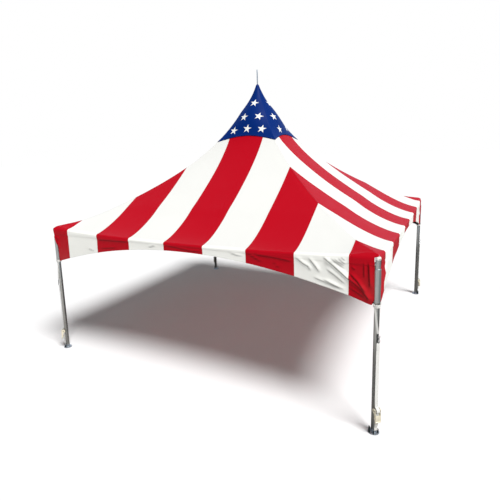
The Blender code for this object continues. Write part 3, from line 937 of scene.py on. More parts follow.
@dataclass(frozen=True)
class Crease:
    """A fold along a line of points in the panel's own coordinates, steeper on one side.

    Its flanks and the band of painted shade under it are in widths; flank is the narrowest in metres that the
    cloth's grid can carry.
    """

    path: tuple[Point, ...]
    width: float
    depth: float
    # depth of fold whose painted shade is full, and where and how wide that shade lies below the fold
    shade_full_depth: float = 0.022
    flank: float = 0.0135
    steep: float = 0.62
    gentle: float = 2.00
    shade_at: float = 0.55
    shade_half: float = 0.50
    reach: float = 4.2
    end_share: float = 0.35
    end_most: float = 0.09

    @cached_property
    def box(self) -> tuple[float, float, float, float]:
        """Lowest x, highest x, lowest y and highest y that the fold reaches."""
        margin = self.width * self.reach
        across, up = zip(*self.path)
        return min(across) - margin, max(across) + margin, min(up) - margin, max(up) + margin

    @cached_property
    def runs(self) -> list[tuple[Vector, Vector, float]]:
        """Start, direction and length of each stretch of the line."""
        points = [Vector(point) for point in self.path]
        return [(a, (b - a).normalized(), (b - a).length) for a, b in zip(points, points[1:])]

    def measure(self, x: float, y: float) -> tuple[float, float]:
        """Signed distance of a point from the line, positive below it, and the fold's strength there."""
        left, right, low, high = self.box
        if not (left < x < right and low < y < high):
            return 0.0, 0.0
        spot, passed, nearest = Vector((x, y)), 0.0, None
        for start, way, length in self.runs:
            away = spot - start
            along = min(max(away.dot(way), 0.0), length)
            offset = away - way * along
            if nearest is None or offset.length < nearest[0]:
                side = away.x * way.y - away.y * way.x
                beyond = abs(away.dot(way) - along)
                nearest = (offset.length, math.copysign(offset.length, side), passed + along, beyond)
            passed += length
        _, offset, at, beyond = nearest
        edge = min(at, passed - at) + 0.3 * self.width
        fade = min(self.end_share * passed, self.end_most)
        return offset, smooth_step(edge / fade) * math.exp(-(beyond / self.width) ** 2)

    def lift(self, x: float, y: float) -> float:
        """Height of the fold at a point, positive outward."""
        offset, strength = self.measure(x, y)
        half = max(self.steep, self.flank / self.width) if offset > 0 else self.gentle
        return self.depth * strength * math.exp(-(offset / self.width / half) ** 2)

    def shade(self, x: float, y: float) -> float:
        """Painted shade at a point, in the hollow under the fold, 0 to 1."""
        offset, strength = self.measure(x, y)
        half = max(self.shade_half, 0.8 * self.flank / self.width)
        across = (offset / self.width - self.shade_at) / half
        return strength * min(1.0, self.depth / self.shade_full_depth) ** 0.5 * math.exp(-across ** 2)


@dataclass
class Canopy:
    """Roof and valances in one cloth, from the hems up to the cap."""

    columns: int = 80
    crowd: float = 0.60
    fold: float = 0.034
    corner_fold: float = 0.096
    join_z: float = 2.512
    part_over: float = 0.026
    fold_rows: int = 6
    roof_rows: int = 34
    under_cap: float = 0.085
    hem_mid_z: float = 2.290
    hem_arch: float = 0.425
    hem_end: float = 2.978
    fall_back: float = 0.007
    air: float = 0.0022
    sleeve_clear: float = 0.0440
    neck_clear: tuple[float, float] = (0.0356, 0.0375)
    neck_z: float = 2.345
    neck_wide_z: float = 2.430
    head_top_z: float = 2.535
    thickness: float = 0.0012
    seam: float = 0.0004
    flat: Point = (8.9, 8.9)
    slope: float = 1.27
    hem_stations: tuple[float, ...] = (0.0, 0.010, 0.0255, 0.0285)
    valance_rows: int = 13
    free_end: tuple[Point, ...] = (
        (2.49, 2.993), (2.33, 2.997), (2.125, 3.001), (1.92, 3.004), (1.865, 2.976))
    wrapped_end: tuple[Point, ...] = (
        (2.500, 3.070), (2.463, 3.066), (2.327, 3.039), (2.19, 3.005), (2.077, 2.975), (1.865, 2.974))
    front_creases: tuple[Crease, ...] = (
        Crease(((2.320, 2.446), (2.465, 2.336), (2.644, 2.187), (2.761, 2.110), (2.848, 2.037),
                (2.936, 1.928), (2.972, 1.872)), 0.020, 0.0240),
        Crease(((2.411, 2.447), (2.524, 2.366), (2.628, 2.300)), 0.013, 0.0100),
        Crease(((2.672, 2.259), (2.789, 2.151), (2.906, 1.999)), 0.016, 0.0170),
        Crease(((2.110, 2.418), (2.199, 2.321), (2.290, 2.200)), 0.016, 0.0150),
        Crease(((1.915, 2.410), (2.043, 2.318), (2.113, 2.286), (2.165, 2.205)), 0.016, 0.0150),
        Crease(((2.359, 2.286), (2.481, 2.206), (2.638, 2.086)), 0.022, 0.0130),
        Crease(((2.314, 2.131), (2.588, 2.017), (2.647, 1.986)), 0.017, 0.0110),
        Crease(((2.661, 2.058), (2.850, 1.961), (2.964, 1.886)), 0.015, 0.0110),
        Crease(((2.925, 2.430), (2.938, 2.240), (2.950, 2.060)), 0.014, 0.0180),
        Crease(((2.865, 2.425), (2.872, 2.180)), 0.011, 0.0090),
        Crease(((2.700, 2.338), (2.758, 2.299)), 0.012, 0.0070),
        Crease(((2.461, 2.441), (2.554, 2.379), (2.631, 2.332)), 0.012, 0.0090),
        Crease(((2.522, 2.447), (2.638, 2.356)), 0.012, 0.0080),
        Crease(((2.561, 2.462), (2.630, 2.411)), 0.011, 0.0060),
        Crease(((2.174, 2.142), (2.368, 2.083), (2.558, 2.026)), 0.016, 0.0090),
        Crease(((1.291, 2.401), (1.369, 2.372), (1.645, 2.357), (1.883, 2.328)), 0.016, 0.0120),
        Crease(((1.157, 2.403), (1.406, 2.265)), 0.016, 0.0120),
        Crease(((1.597, 2.294), (1.680, 2.203)), 0.016, 0.0070),
        Crease(((0.863, 2.377), (0.992, 2.336), (1.090, 2.330)), 0.015, 0.0080),
        Crease(((-0.344, 2.377), (-0.158, 2.366), (0.141, 2.328), (0.375, 2.335)), 0.017, 0.0080),
        Crease(((-0.715, 2.380), (-0.632, 2.300)), 0.015, 0.0080),
        Crease(((-0.626, 2.374), (-0.565, 2.312)), 0.015, 0.0070),
        Crease(((-1.890, 2.358), (-1.520, 2.368), (-1.143, 2.372)), 0.016, 0.0110),
        Crease(((-1.834, 2.203), (-1.438, 2.246)), 0.018, 0.0070),
        Crease(((-2.143, 2.176), (-1.994, 2.132)), 0.018, 0.0070),
        Crease(((-3.004, 2.337), (-2.939, 2.265)), 0.016, 0.0120),
        Crease(((-2.984, 2.254), (-2.943, 2.095)), 0.016, 0.0130),
    )
    side_creases: tuple[Crease, ...] = (
        Crease(((2.300, 2.430), (2.560, 2.250), (2.800, 2.080), (2.965, 1.880)), 0.024, 0.0180),
        Crease(((2.050, 2.400), (2.300, 2.200)), 0.020, 0.0100),
        Crease(((2.500, 2.430), (2.760, 2.260)), 0.018, 0.0080),
        Crease(((2.920, 2.420), (2.945, 2.060)), 0.016, 0.0120),
        Crease(((1.150, 2.390), (1.460, 2.280)), 0.018, 0.0050),
        Crease(((0.250, 2.380), (0.480, 2.330)), 0.018, 0.0040),
    )
    roof_creases: tuple[Crease, ...] = (
        Crease(((2.150, 2.190), (2.648, 2.680)), 0.045, 0.0060),
        Crease(((1.215, 1.300), (1.888, 1.960)), 0.050, 0.0040),
        Crease(((2.500, 2.860), (2.900, 2.960)), 0.040, -0.0040),
    )

    def hem(self, x: float) -> float:
        """Height of the valance's lower edge."""
        return self.hem_mid_z - self.hem_arch * min(x / self.hem_end, 1.02) ** 2

    def eave(self, across: float) -> tuple[float, float, float, float]:
        """Turn of the cloth over the beam, wider and softer at the corners.

        Args:
            across: -1 to 1 between the ends.

        Returns:
            Distance from the mast and height where the turn begins, its radius and the roof's angle there.
        """
        turn = lerp(self.fold, self.corner_fold, smooth_step((abs(across) - 0.86) / 0.12))
        fall = ROOF.height(2.99, across) - ROOF.height(3.03, across)
        angle = math.atan2(fall, 0.04)
        start = PLAN.eave_half - turn * (1 - math.sin(angle))
        return start, ROOF.height(start, across), turn, angle

    def end(self, z: float, side: int, hand: float) -> float:
        """Half width of the valance at a height; the front's left end wraps the corner."""
        stations = self.wrapped_end if side == 0 and hand < 0 else self.free_end
        if z >= stations[0][0]:
            return stations[0][1]
        for (high, first), (low, second) in zip(stations, stations[1:]):
            if z >= low:
                return lerp(second, first, (z - low) / (high - low))
        return stations[-1][1]

    def waves(self, x: float, y: float, side: int) -> float:
        """Slow unevenness of the fabric."""
        return noise.noise(Vector((x * 1.7, y * 2.3, side * 7.3))) * 0.005

    def clear(self, x: float, z: float) -> float:
        """Least lift that keeps the cloth outside the beam, and the leg's sleeve at the corners."""
        beam = math.sqrt(max(0.0, PLAN.beam_r ** 2 - (z - PLAN.beam_z) ** 2))
        neck = lerp(*self.neck_clear, smooth_step((z - self.neck_wide_z) / 0.02))
        radius = self.sleeve_clear if z < self.neck_z else neck
        radius *= smooth_step((self.head_top_z - z) / 0.035)
        leg = math.sqrt(max(0.0, radius ** 2 - (abs(x) - PLAN.axis_at) ** 2))
        return PLAN.axis_at + max(beam, leg) + self.air - PLAN.eave_half

    def surface(self, side: int, across: float, level: float) -> tuple[Vector, float]:
        """Point of one side's cloth.

        Args:
            side: 0 to 3.
            across: -1 to 1 between the ends.
            level: 0 at the hem, one more for each row.

        Returns:
            The point, and its distance up the slope from the eave, negative below the roof.
        """
        hems = len(self.hem_stations) - 1
        below = hems + self.valance_rows
        if level > below + self.fold_rows:
            return self.on_roof(side, across, (level - below - self.fold_rows) / self.roof_rows)
        start, height, turn, angle = self.eave(across)
        arc = turn * (math.pi / 2 - angle)
        if level > below:
            share = (level - below) / self.fold_rows
            lean = lerp(math.pi / 2, angle, share)
            radius = start + turn * (math.sin(lean) - math.sin(angle))
            z = height + turn * (math.cos(lean) - math.cos(angle))
            half = self.width_at(z, radius, side, across)
            rest = PLAN.eave_half + self.clear(across * half, z)
            reach = lerp(radius, max(radius, rest), self.apart(z))
            return Vector((across * half, -reach, z)), arc * (share - 1)
        bottom = height - turn * math.cos(angle)
        hem = self.hem(abs(across) * PLAN.eave_half)
        if level < hems:
            row = int(level)
            z = hem + lerp(self.hem_stations[row], self.hem_stations[row + 1], level - row)
        else:
            z = lerp(hem + self.hem_stations[-1], bottom, (level - hems) / self.valance_rows)
        x = across * self.width_at(z, PLAN.eave_half, side, across)
        return self.on_valance(side, x, z, bottom, level < hems - 1), z - bottom - arc

    def apart(self, z: float) -> float:
        """How far a side has parted from its neighbour at a height, 0 to 1."""
        return smooth_step((self.join_z - z) / self.part_over)

    def width_at(self, z: float, radius: float, side: int, across: float) -> float:
        """Half width of the cloth, which parts from its neighbour below the corner."""
        return lerp(radius, self.end(z, side, math.copysign(1.0, across)), self.apart(z))

    def on_roof(self, side: int, across: float, share: float) -> tuple[Vector, float]:
        """Point above the eave's turn, at a share of the way to the cap."""
        start = self.eave(across)[0]
        radius = lerp(start, ROOF.cap_edge(across) - self.under_cap, share ** 1.12)
        spot = ROOF.point(radius, across)
        along = across * radius
        lift = self.waves(along, radius, side) * (1 - across ** 8) * smooth_step((1 - share) * 4)
        lift *= smooth_step(share * 8)
        for crease in self.roof_creases:
            lift += crease.lift(abs(along), radius) * (1.0 if side == 0 or along > 0 else 0.6)
        lean = Vector((0, -0.45, 0.89)) * lift * (1 - across ** 16)
        return spot + lean, (start - radius) * self.slope

    def on_valance(self, side: int, x: float, z: float, bottom: float, doubled: bool) -> Vector:
        """Point of the hanging part, which falls back from the beam and gathers at the corners."""
        below_beam = smooth_step((PLAN.beam_z - z) / 0.020)
        lift = (self.waves(x, z * 2.0, side) - self.fall_back) * below_beam
        lift += 0.003 * math.sin(x * 9.0 + side) * smooth_step((bottom - z - 0.05) / 0.2)
        near = smooth_step((bottom + 0.006 - z) / 0.02)
        lift += near * sum(crease.lift(place, z) for crease, place in self.creases(side, x))
        lift = max(lift + (0.0012 if doubled else 0.0), self.clear(x, z))
        return Vector((x, -PLAN.eave_half - lift, z))

    def creases(self, side: int, x: float) -> list[tuple[Crease, float]]:
        """Folds of one side's valance, each with the place across that it is measured at."""
        if side == 0:
            return [(crease, x) for crease in self.front_creases]
        return [(crease, abs(x)) for crease in self.side_creases]

    def mark_fold_shade(self, form: Form, side: int) -> None:
        """Lay the second map: x is the painted shade under the folds at a point, on the front alone."""
        layer = form.bm.loops.layers.uv.new("FoldMap")
        back = side_turn(-side)
        for vertex in form.bm.verts:
            spot = back @ vertex.co
            shade = 0.0
            if side == 0 and spot.z < 2.46 and spot.y < -PLAN.eave_half + 0.08:
                shade = min(1.0, sum(crease.shade(x, spot.z) for crease, x in self.creases(side, spot.x)))
            for loop in vertex.link_loops:
                loop[layer].uv = (shade, 0.0)

    def gathered(self, side: int, rows: int) -> list[Callable[[float, float], bool]]:
        """Where the grid of one side is split, once for each test that a face's middle passes."""
        hem = len(self.hem_stations) / rows * 2 - 1
        fold = (len(self.hem_stations) + self.valance_rows + self.fold_rows + 1) / rows * 2 - 1
        eave = (len(self.hem_stations) + self.valance_rows) / rows * 2 - 1
        tests = [lambda x, y: hem < y < fold and (side < 2 or abs(x) > 0.44)]
        if side == 0:
            tests.append(lambda x, y: hem < y < fold and (x > 0.42 or x < -0.80))
            tests.append(lambda x, y: hem < y < eave and x > 0.72)
        return tests

    def build(self) -> bpy.types.Object:
        rows = len(self.hem_stations) - 1 + self.valance_rows + self.fold_rows + self.roof_rows
        sides = ("roof", "valance")
        piece = Piece("canopy_cloth", VINYL, replaces=tuple(f"{a}_{b}" for a in sides for b in SIDES),
                      smooth=42.0)
        for side in range(len(SIDES)):
            turn = side_turn(side)

            @cache
            def locate(x: float, y: float, side: int = side) -> tuple[Vector, float]:
                across = x + self.crowd * math.sin(math.pi * x) / math.pi
                return self.surface(side, across, (y + 1) / 2 * rows)

            def spot(x: float, y: float) -> Vector:
                return turn @ locate(x, y)[0]

            def chart(x: float, y: float) -> Point:
                place, along = locate(x, y)
                return place.x, along

            form = Form.grid(self.columns, rows, spot, chart, self.gathered(side, rows))
            self.mark_fold_shade(form, side)
            piece.add(form)
        return hang(piece, self.seam, self.thickness, self.flat)


@dataclass(frozen=True)
class Star:
    """A printed star: place on its side, as x and distance from the mast, and lean in degrees."""

    x: float
    radius: float
    lean: float = 8.0


@dataclass
class StarCap:
    """Blue cap that is drawn over the crown and hemmed in an arc on each side."""

    columns: int = 44
    rows: int = 46
    crown_rows: int = 8
    stand: float = 0.004
    thickness: float = 0.0014
    seam: float = 0.00005
    flat: Point = (2.6, 2.6)
    ease: float = 0.92
    rod_hole: float = 0.0129
    crown_rise: float = 0.014
    star_r: float = 0.097
    stars: tuple[tuple[Star, ...], ...] = (
        (Star(0.025, 0.188), Star(-0.127, 0.334), Star(0.198, 0.332),
         Star(-0.315, 0.501), Star(0.002, 0.488), Star(0.319, 0.493)),
        (Star(0.038, 0.193), Star(-0.155, 0.340), Star(-0.164, 0.507), Star(0.301, 0.481)),
    )

    def point(self, side: int, x: float, y: float) -> Vector:
        """Point of one side's cloth for grid coordinates from -1 to 1, hem to rod."""
        rows = self.rows + self.crown_rows
        row = (y + 1) / 2 * rows
        if row <= self.rows:
            share = row / self.rows
            radius = lerp(ROOF.cap_edge(x), ROOF.crown_r, share ** self.ease)
            spot = ROOF.point(radius, x)
            lift = self.stand + 0.004 * smooth_step(1 - share * 9)
            lift += 0.0035 * noise.noise(Vector((spot.x * 4.0, side * 5.0, spot.z * 3.0))) * (1 - x ** 8)
            lean = Vector((0.75 * x * abs(x) ** 9, -0.75, 0.66)) * lift * smooth_step((1 - share) * 6)
            return side_turn(side) @ (spot + lean)
        share = (row - self.rows) / self.crown_rows
        radius = lerp(ROOF.crown_r, self.rod_hole, share)
        spot = ROOF.point(ROOF.crown_r, x) * (radius / ROOF.crown_r)
        spot.z = ROOF.peak_z + self.crown_rise * math.sin(share * math.pi / 2)
        return side_turn(side) @ spot

    def chart(self, x: float, y: float) -> Point:
        """Distance across the side and up from the hem."""
        rows = self.rows + self.crown_rows
        row = min((y + 1) / 2 * rows, self.rows)
        radius = lerp(ROOF.cap_edge(x), ROOF.crown_r, (row / self.rows) ** self.ease)
        return x * radius, (ROOF.cap_edge(x) - radius) * 1.75

    def print_stars(self, form: Form, side: int) -> None:
        """Lay the second map: each face takes coordinates about its nearest star."""
        layer = form.bm.loops.layers.uv.new("StarMap")
        stars = self.stars[0] if side % 2 == 0 else self.stars[1]
        back = side_turn(-side)
        centres = [ROOF.point(star.radius, star.x / star.radius) for star in stars]
        for face in form.bm.faces:
            middle = back @ face.calc_center_median()
            near = min(range(len(stars)), key=lambda i: (centres[i] - middle).length)
            centre = centres[near]
            up = (ROOF.point(stars[near].radius - 0.02, 0) - ROOF.point(stars[near].radius, 0)).normalized()
            spin = Matrix.Rotation(math.radians(stars[near].lean), 2)
            for loop in face.loops:
                away = back @ loop.vert.co - centre
                loop[layer].uv = spin @ Vector((away.x, away.dot(up))) / self.star_r

    def build(self) -> bpy.types.Object:
        piece = Piece("star_cap_cloth", STARS, replaces=("peak_cap",), smooth=40.0)
        for side in range(len(SIDES)):
            form = Form.grid(self.columns, self.rows + self.crown_rows,
                             lambda x, y, side=side: self.point(side, x, y), self.chart)
            self.print_stars(form, side)
            piece.add(form)
        return hang(piece, self.seam, self.thickness, self.flat)


# Frame
@dataclass
class TubeFrame:
    """Eave beams and legs."""

    beam_bore: float = 0.0270
    beam_start: float = 0.045
    leg_bore: float = 0.0315
    leg_span: Point = (0.058, 2.3297)
    steps: int = 48

    def tube(self, radius: float, bore: float, low: float, high: float) -> Form:
        """Tube along Z with softened rims."""
        return Form.turned([(radius, high), (radius, low), (bore, low), (bore, high)], self.steps,
                           ring=True, bevel=0.0007)

    def build(self) -> None:
        """Make the eight tubes."""
        half = PLAN.axis_at - self.beam_start
        for side, word in enumerate(SIDES):
            lay = Matrix.Translation((0, -PLAN.axis_at, PLAN.beam_z)) @ Matrix.Rotation(math.pi / 2, 4, "Y")
            Piece(f"beam_tube_{word}", TUBE, replaces=(f"beam_{word}",), place=side_turn(side) @ lay).add(
                self.tube(PLAN.beam_r, self.beam_bore, -half, half)).build()
        for letter, place in corners():
            Piece(f"leg_tube_{letter}", TUBE, replaces=(f"leg_{letter}",), place=place).add(
                self.tube(PLAN.leg_r, self.leg_bore, *self.leg_span)).build()


@dataclass
class CornerHead:
    """Sleeve on the leg's top with a domed cap, beam stubs, an eye plate and bolts."""

    bottom: float = 1.870
    sleeve_r: float = 0.0425
    neck_r: float = 0.0345
    bore: float = 0.0353
    neck_z: float = 2.340
    edge_z: float = 2.486
    top_z: float = 2.4945
    stub_r: float = 0.0266
    stub_length: float = 0.150
    collar_r: float = 0.0300
    eye_z: float = 2.345
    eye_reach: float = 0.085
    lid_z: float = 2.3300
    lip: float = 0.0012
    beams: tuple[float, float] = (135, 225)

    def sleeve(self) -> Form:
        """Outer tube, closed by a dome above the leg's end."""
        lip_r = self.sleeve_r + self.lip
        return Form.turned([
            (0, self.top_z), (self.neck_r * 0.55, self.top_z - 0.003),
            (self.neck_r * 0.92, self.edge_z + 0.001), (self.neck_r, self.edge_z - 0.004),
            (self.neck_r, self.neck_z), (self.sleeve_r, self.neck_z - 0.012),
            (self.sleeve_r, self.bottom + 0.028), (lip_r, self.bottom + 0.026), (lip_r, self.bottom),
            (self.bore, self.bottom), (self.bore, self.lid_z), (0, self.lid_z)], 48, bevel=0.0006)

    def eye(self) -> Form:
        """Plate with a hole that takes the stay's shackle."""
        plate = Form.eye_plate(self.bore + 0.002, self.eye_reach, self.eye_z, 0.020)
        return plate.moved(Matrix.Rotation(math.pi, 4, "Z"))

    def stub(self, degrees: float) -> list[Form]:
        """Stub that a beam slides over, with its collar and weld."""
        way = heading(degrees)
        root = Vector((0, 0, PLAN.beam_z))
        weld = Form.ring(self.collar_r + 0.0005, 0.0022, 40, 8)
        turn = Vector((0, 1, 0)).rotation_difference(way).to_matrix().to_4x4()
        weld.moved(Matrix.Translation(root + way * 0.0245) @ turn)
        return [
            Form.bar(root + way * 0.010, root + way * self.stub_length, self.stub_r, 32, 0.002),
            Form.bar(root + way * 0.012, root + way * 0.0447, self.collar_r, 40, 0.0010), weld]

    def bolts(self) -> list[Form]:
        """Set screws on the sleeve's inner side, and pins through the beams."""
        forms = []
        for z in (1.905, 2.060):
            seat = -self.sleeve_r
            forms.append(Form.bar((seat + 0.003, 0, z), (seat - 0.0016, 0, z), 0.0125, 24, 0.0004))
            forms.append(Form.bar((seat, 0, z), (seat - 0.0086, 0, z), 0.0098, 6, 0.0010))
            forms.append(Form.bar((seat, 0, z), (seat - 0.0125, 0, z), 0.0052, 16, 0.0008))
        for degrees in self.beams:
            spot = Vector((0, 0, PLAN.beam_z)) + heading(degrees) * 0.105
            for hand in (1, -1):
                base = spot + Vector((0, 0, hand * (PLAN.beam_r - 0.0015)))
                up = Vector((0, 0, hand))
                forms.append(Form.bar(base, base + up * 0.0030, 0.0115, 24, 0.0004))
                forms.append(Form.bar(base + up * 0.001, base + up * 0.0085, 0.0088, 6, 0.0010))
        return forms

    def cap(self) -> Form:
        """Moulded cap over the neck's top."""
        outer, low, high = self.neck_r + 0.0022, self.edge_z - 0.030, self.top_z + 0.0015
        return Form.turned([
            (0, high), (outer * 0.60, high - 0.001), (outer * 0.90, high - 0.0045), (outer, high - 0.013),
            (outer, low), (self.neck_r + 0.0004, low), (self.neck_r + 0.0004, self.edge_z),
            (0, self.top_z + 0.0003)], 40, bevel=0.0008)

    def screws(self) -> list[Form]:
        """Dark recessed screws that hold the cap."""
        reach, z = self.neck_r + 0.0022, self.edge_z - 0.015
        forms = []
        for degrees in (0, 180):
            for turn in (45, 135):
                cross = Form.block((-0.0008, -0.0090, -0.0024), (0.0012, 0.0090, 0.0024), 0.0004)
                cross.moved(Matrix.Translation(heading(degrees) * reach + Vector((0, 0, z)))
                            @ Matrix.Rotation(math.radians(degrees), 4, "Z")
                            @ Matrix.Rotation(math.radians(turn), 4, "X"))
                forms.append(cross)
        return forms

    def build(self) -> None:
        """Make the four heads."""
        for letter, place in corners():
            Piece(f"corner_cap_{letter}", CAP_WHITE, place=place).add(self.cap()).build()
            Piece(f"corner_screws_{letter}", BLACKED, place=place).add(*self.screws()).build()
            seam = Form.ring(self.sleeve_r - 0.0012, 0.0024, 48, 8).moved(
                Matrix.Translation((0, 0, self.neck_z - 0.008)) @ Matrix.Rotation(math.pi / 2, 4, "X"))
            head = Piece(f"corner_socket_{letter}", FITTING, replaces=(f"corner_head_{letter}",), place=place)
            stubs = [form for degrees in self.beams for form in self.stub(degrees)]
            head.add(self.sleeve(), self.eye(), *stubs, seam).build()
            Piece(f"corner_bolts_{letter}", ZINCED, place=place).add(*self.bolts()).build()


@dataclass
class MastStack:
    """Mast with its foot fitting, crown and finial."""

    mast_r: float = 0.0380
    mast_bore: float = 0.0345
    foot_z: float = 2.200
    cup_r: float = 0.0470
    cup_top: float = 2.300
    cup_bottom: float = 2.130
    lug_z: float = 2.190
    lug_reach: float = 0.085
    mast_top: float = 5.1497
    rod_seat: float = 5.195
    rod_top: float = 5.537

    def foot(self) -> list[Form]:
        """Cup under the mast with four lugs."""
        gap = 0.0003
        cup = Form.turned([
            (0, self.foot_z), (self.mast_r + gap, self.foot_z), (self.mast_r + gap, self.cup_top),
            (self.cup_r - 0.003, self.cup_top), (self.cup_r, self.cup_top - 0.003),
            (self.cup_r, self.cup_bottom + 0.032), (self.cup_r - 0.015, self.cup_bottom),
            (0, self.cup_bottom)], 48, bevel=0.0012)
        forms = [cup]
        for index in range(len(CORNERS)):
            lug = Form.eye_plate(self.cup_r - 0.004, self.lug_reach, self.lug_z, 0.018)
            forms.append(lug.moved(Matrix.Rotation(math.radians(corner_angle(index)), 4, "Z")))
        return forms

    def build(self) -> None:
        """Make the mast and what it carries."""
        base = self.foot_z + 0.0003
        tube = Form.turned([(self.mast_r, self.mast_top), (self.mast_r, base), (self.mast_bore, base),
                            (self.mast_bore, self.mast_top)], 56, ring=True, bevel=0.0007)
        Piece("mast_tube", TUBE, replaces=("mast",)).add(tube).build()
        Piece("mast_cup", ZINCED, replaces=("mast_foot",)).add(*self.foot()).build()
        seat, lid = self.rod_seat, self.mast_top + 0.0003
        bore, hub, skirt = self.mast_r + 0.0003, 0.024, 0.044
        crown = Form.turned([
            (0, seat), (0.0128, seat), (0.0128, 5.2135), (hub, 5.2135), (hub, 5.2095), (skirt, 5.165),
            (skirt, 5.100), (bore, 5.100), (bore, lid), (0, lid)], 48, bevel=0.0008)
        Piece("crown_plate", ZINCED, replaces=("crown",)).add(crown).build()
        rod = Form.rod(0.0125, self.rod_seat + 0.0003, self.rod_top, 32, 0.002)
        Piece("finial_mast", ZINCED, replaces=("finial_rod",)).add(rod).build()


@dataclass
class Stay:
    """Wire rope from a corner head to the mast foot, with swaged eyes and a turnbuckle."""

    rope_r: float = 0.0050
    swage_r: float = 0.0085
    body_r: float = 0.0120
    eye_z: float = 2.345
    lug_z: float = 2.190
    eye_reach: float = 0.085
    buckle_from_top: float = 0.30
    buckle_length: float = 0.275

    def build(self) -> None:
        """Make the four stays."""
        for index, letter in enumerate(CORNERS):
            outward = heading(corner_angle(index))
            high = outward * (PLAN.reach - self.eye_reach - 0.0006) + Vector((0, 0, self.eye_z))
            low = outward * (self.eye_reach + 0.0006) + Vector((0, 0, self.lug_z))
            length = (high - low).length
            turn = Vector((0, 0, 1)).rotation_difference(high - low).to_matrix().to_4x4()
            place = Matrix.Translation(low) @ turn
            buckle = length - self.buckle_from_top
            rope = Piece(f"stay_rope_{letter}", WIRE, replaces=(f"cable_{letter}",), place=place)
            rope.add(Form.rod(self.rope_r, 0.07, buckle - 0.02, 20),
                     Form.rod(self.rope_r, buckle + 0.02, length - 0.06, 20)).build()
            fittings = Piece(f"stay_fittings_{letter}", ZINCED, place=place)
            for centre, hand in ((0.0, 1), (length, -1)):
                fittings.add(Form.turned([
                    (0, centre + hand * 0.095), (self.rope_r + 0.0008, centre + hand * 0.095),
                    (self.swage_r, centre + hand * 0.085), (self.swage_r, centre + hand * 0.034),
                    (0.0060, centre + hand * 0.030), (0.0060, centre + hand * 0.006),
                    (0.0045, centre + hand * 0.001), (0, centre + hand * 0.001)], 24))
            start, end = buckle - self.buckle_length, buckle
            for low_z, high_z in ((start, start + 0.035), (end - 0.035, end)):
                fittings.add(Form.turned([
                    (0, high_z), (self.body_r - 0.003, high_z), (self.body_r, high_z - 0.004),
                    (self.body_r, low_z + 0.004), (self.body_r - 0.003, low_z), (0, low_z)], 24))
            for x in (0.0085, -0.0085):
                fittings.add(Form.bar((x, 0, start + 0.02), (x, 0, end - 0.02), 0.0034, 12))
            fittings.add(Form.bar((0, 0, start + 0.01), (0, 0, start + 0.11), 0.0045, 12),
                         Form.bar((0, 0, end - 0.11), (0, 0, end - 0.01), 0.0045, 12))
            fittings.build()


@dataclass
class BasePlate:
    """Round foot with a spigot, a clevis for the strap, a pin, a stake lug and two stake heads."""

    radius: float = 0.0780
    thick: float = 0.008
    collar_r: float = 0.0385
    ear_y: float = 0.0310
    ear_thick: float = 0.006
    stakes: tuple[Point, ...] = ((-0.057, 0.0), (0.0, 0.058))

    def plate(self) -> Form:
        """Disc that lies flat."""
        return Form.rod(self.radius, 0, self.thick, 56, 0.0014)

    def spigot(self) -> Form:
        """Pipe that the leg stands on."""
        return Form.turned([
            (0, 0.200), (0.0265, 0.200), (0.0312, 0.194), (0.0312, 0.0577), (self.collar_r, 0.0577),
            (self.collar_r, 0.0497), (0.0300, 0.0497), (0.0300, 0.014), (0.0345, 0.0082), (0.0345, 0.004),
            (0, 0.004)], 40, bevel=0.0007)

    def ears(self) -> list[Form]:
        """Clevis ears with round tops and weld beads, and the stake lug."""
        forms = []
        for y in (self.ear_y, -self.ear_y - self.ear_thick):
            ear = Form.slab([(0.0495, 0.0625, 0.0130), (0.0400, 0.012, 0.0045), (0.0580, 0.012, 0.0045)],
                            self.ear_thick, 0.0008)
            forms.append(ear.moved(Matrix.Translation((0, y, 0))))
            for edge in (y, y + self.ear_thick):
                forms.append(Form.bar((0.037, edge, 0.0085), (0.062, edge, 0.0085), 0.0024, 10, 0.0008))
        lug = Form.slab([(0, 0.094, 0.0160), (-0.0150, 0.012, 0.0045), (0.0150, 0.012, 0.0045)],
                        self.ear_thick, 0.0008)
        forms.append(lug.moved(Matrix.Translation((0, -0.071, 0))))
        for edge in (-0.071, -0.065):
            forms.append(Form.bar((-0.020, edge, 0.0085), (0.020, edge, 0.0085), 0.0024, 10, 0.0008))
        return forms

    def pin(self) -> list[Form]:
        """Clevis pin with its head, washer and nut, and the heads of two stakes on the plate."""
        x, z = PLAN.pin
        end = self.ear_y + self.ear_thick
        forms = [
            Form.bar((x, -end - 0.0060, z), (x, end + 0.0060, z), 0.0060, 20),
            Form.bar((x, end + 0.0002, z), (x, end + 0.0052, z), 0.0100, 6, 0.0010),
            Form.bar((x, -end - 0.0018, z), (x, -end - 0.0002, z), 0.0105, 24, 0.0003),
            Form.bar((x, -end - 0.0056, z), (x, -end - 0.0020, z), 0.0090, 6, 0.0008)]
        for spot in self.stakes:
            head = Form.turned([(0, 0.0225), (0.0085, 0.0220), (0.0125, 0.0185), (0.0130, 0.0140),
                                (0.0110, 0.0125), (0.0095, 0.0120), (0.0095, 0.0083), (0, 0.0083)], 24)
            forms.append(head.moved(Matrix.Translation((*spot, 0))))
        return forms

    def build(self) -> None:
        """Make the four feet."""
        for letter, place in corners():
            foot = Piece(f"foot_plate_{letter}", ZINCED, replaces=(f"base_plate_{letter}",), place=place)
            foot.add(self.plate(), self.spigot()).build()
            Piece(f"foot_lugs_{letter}", BLACKED, place=place).add(*self.ears()).build()
            Piece(f"foot_pins_{letter}", ZINCED, place=place).add(*self.pin()).build()


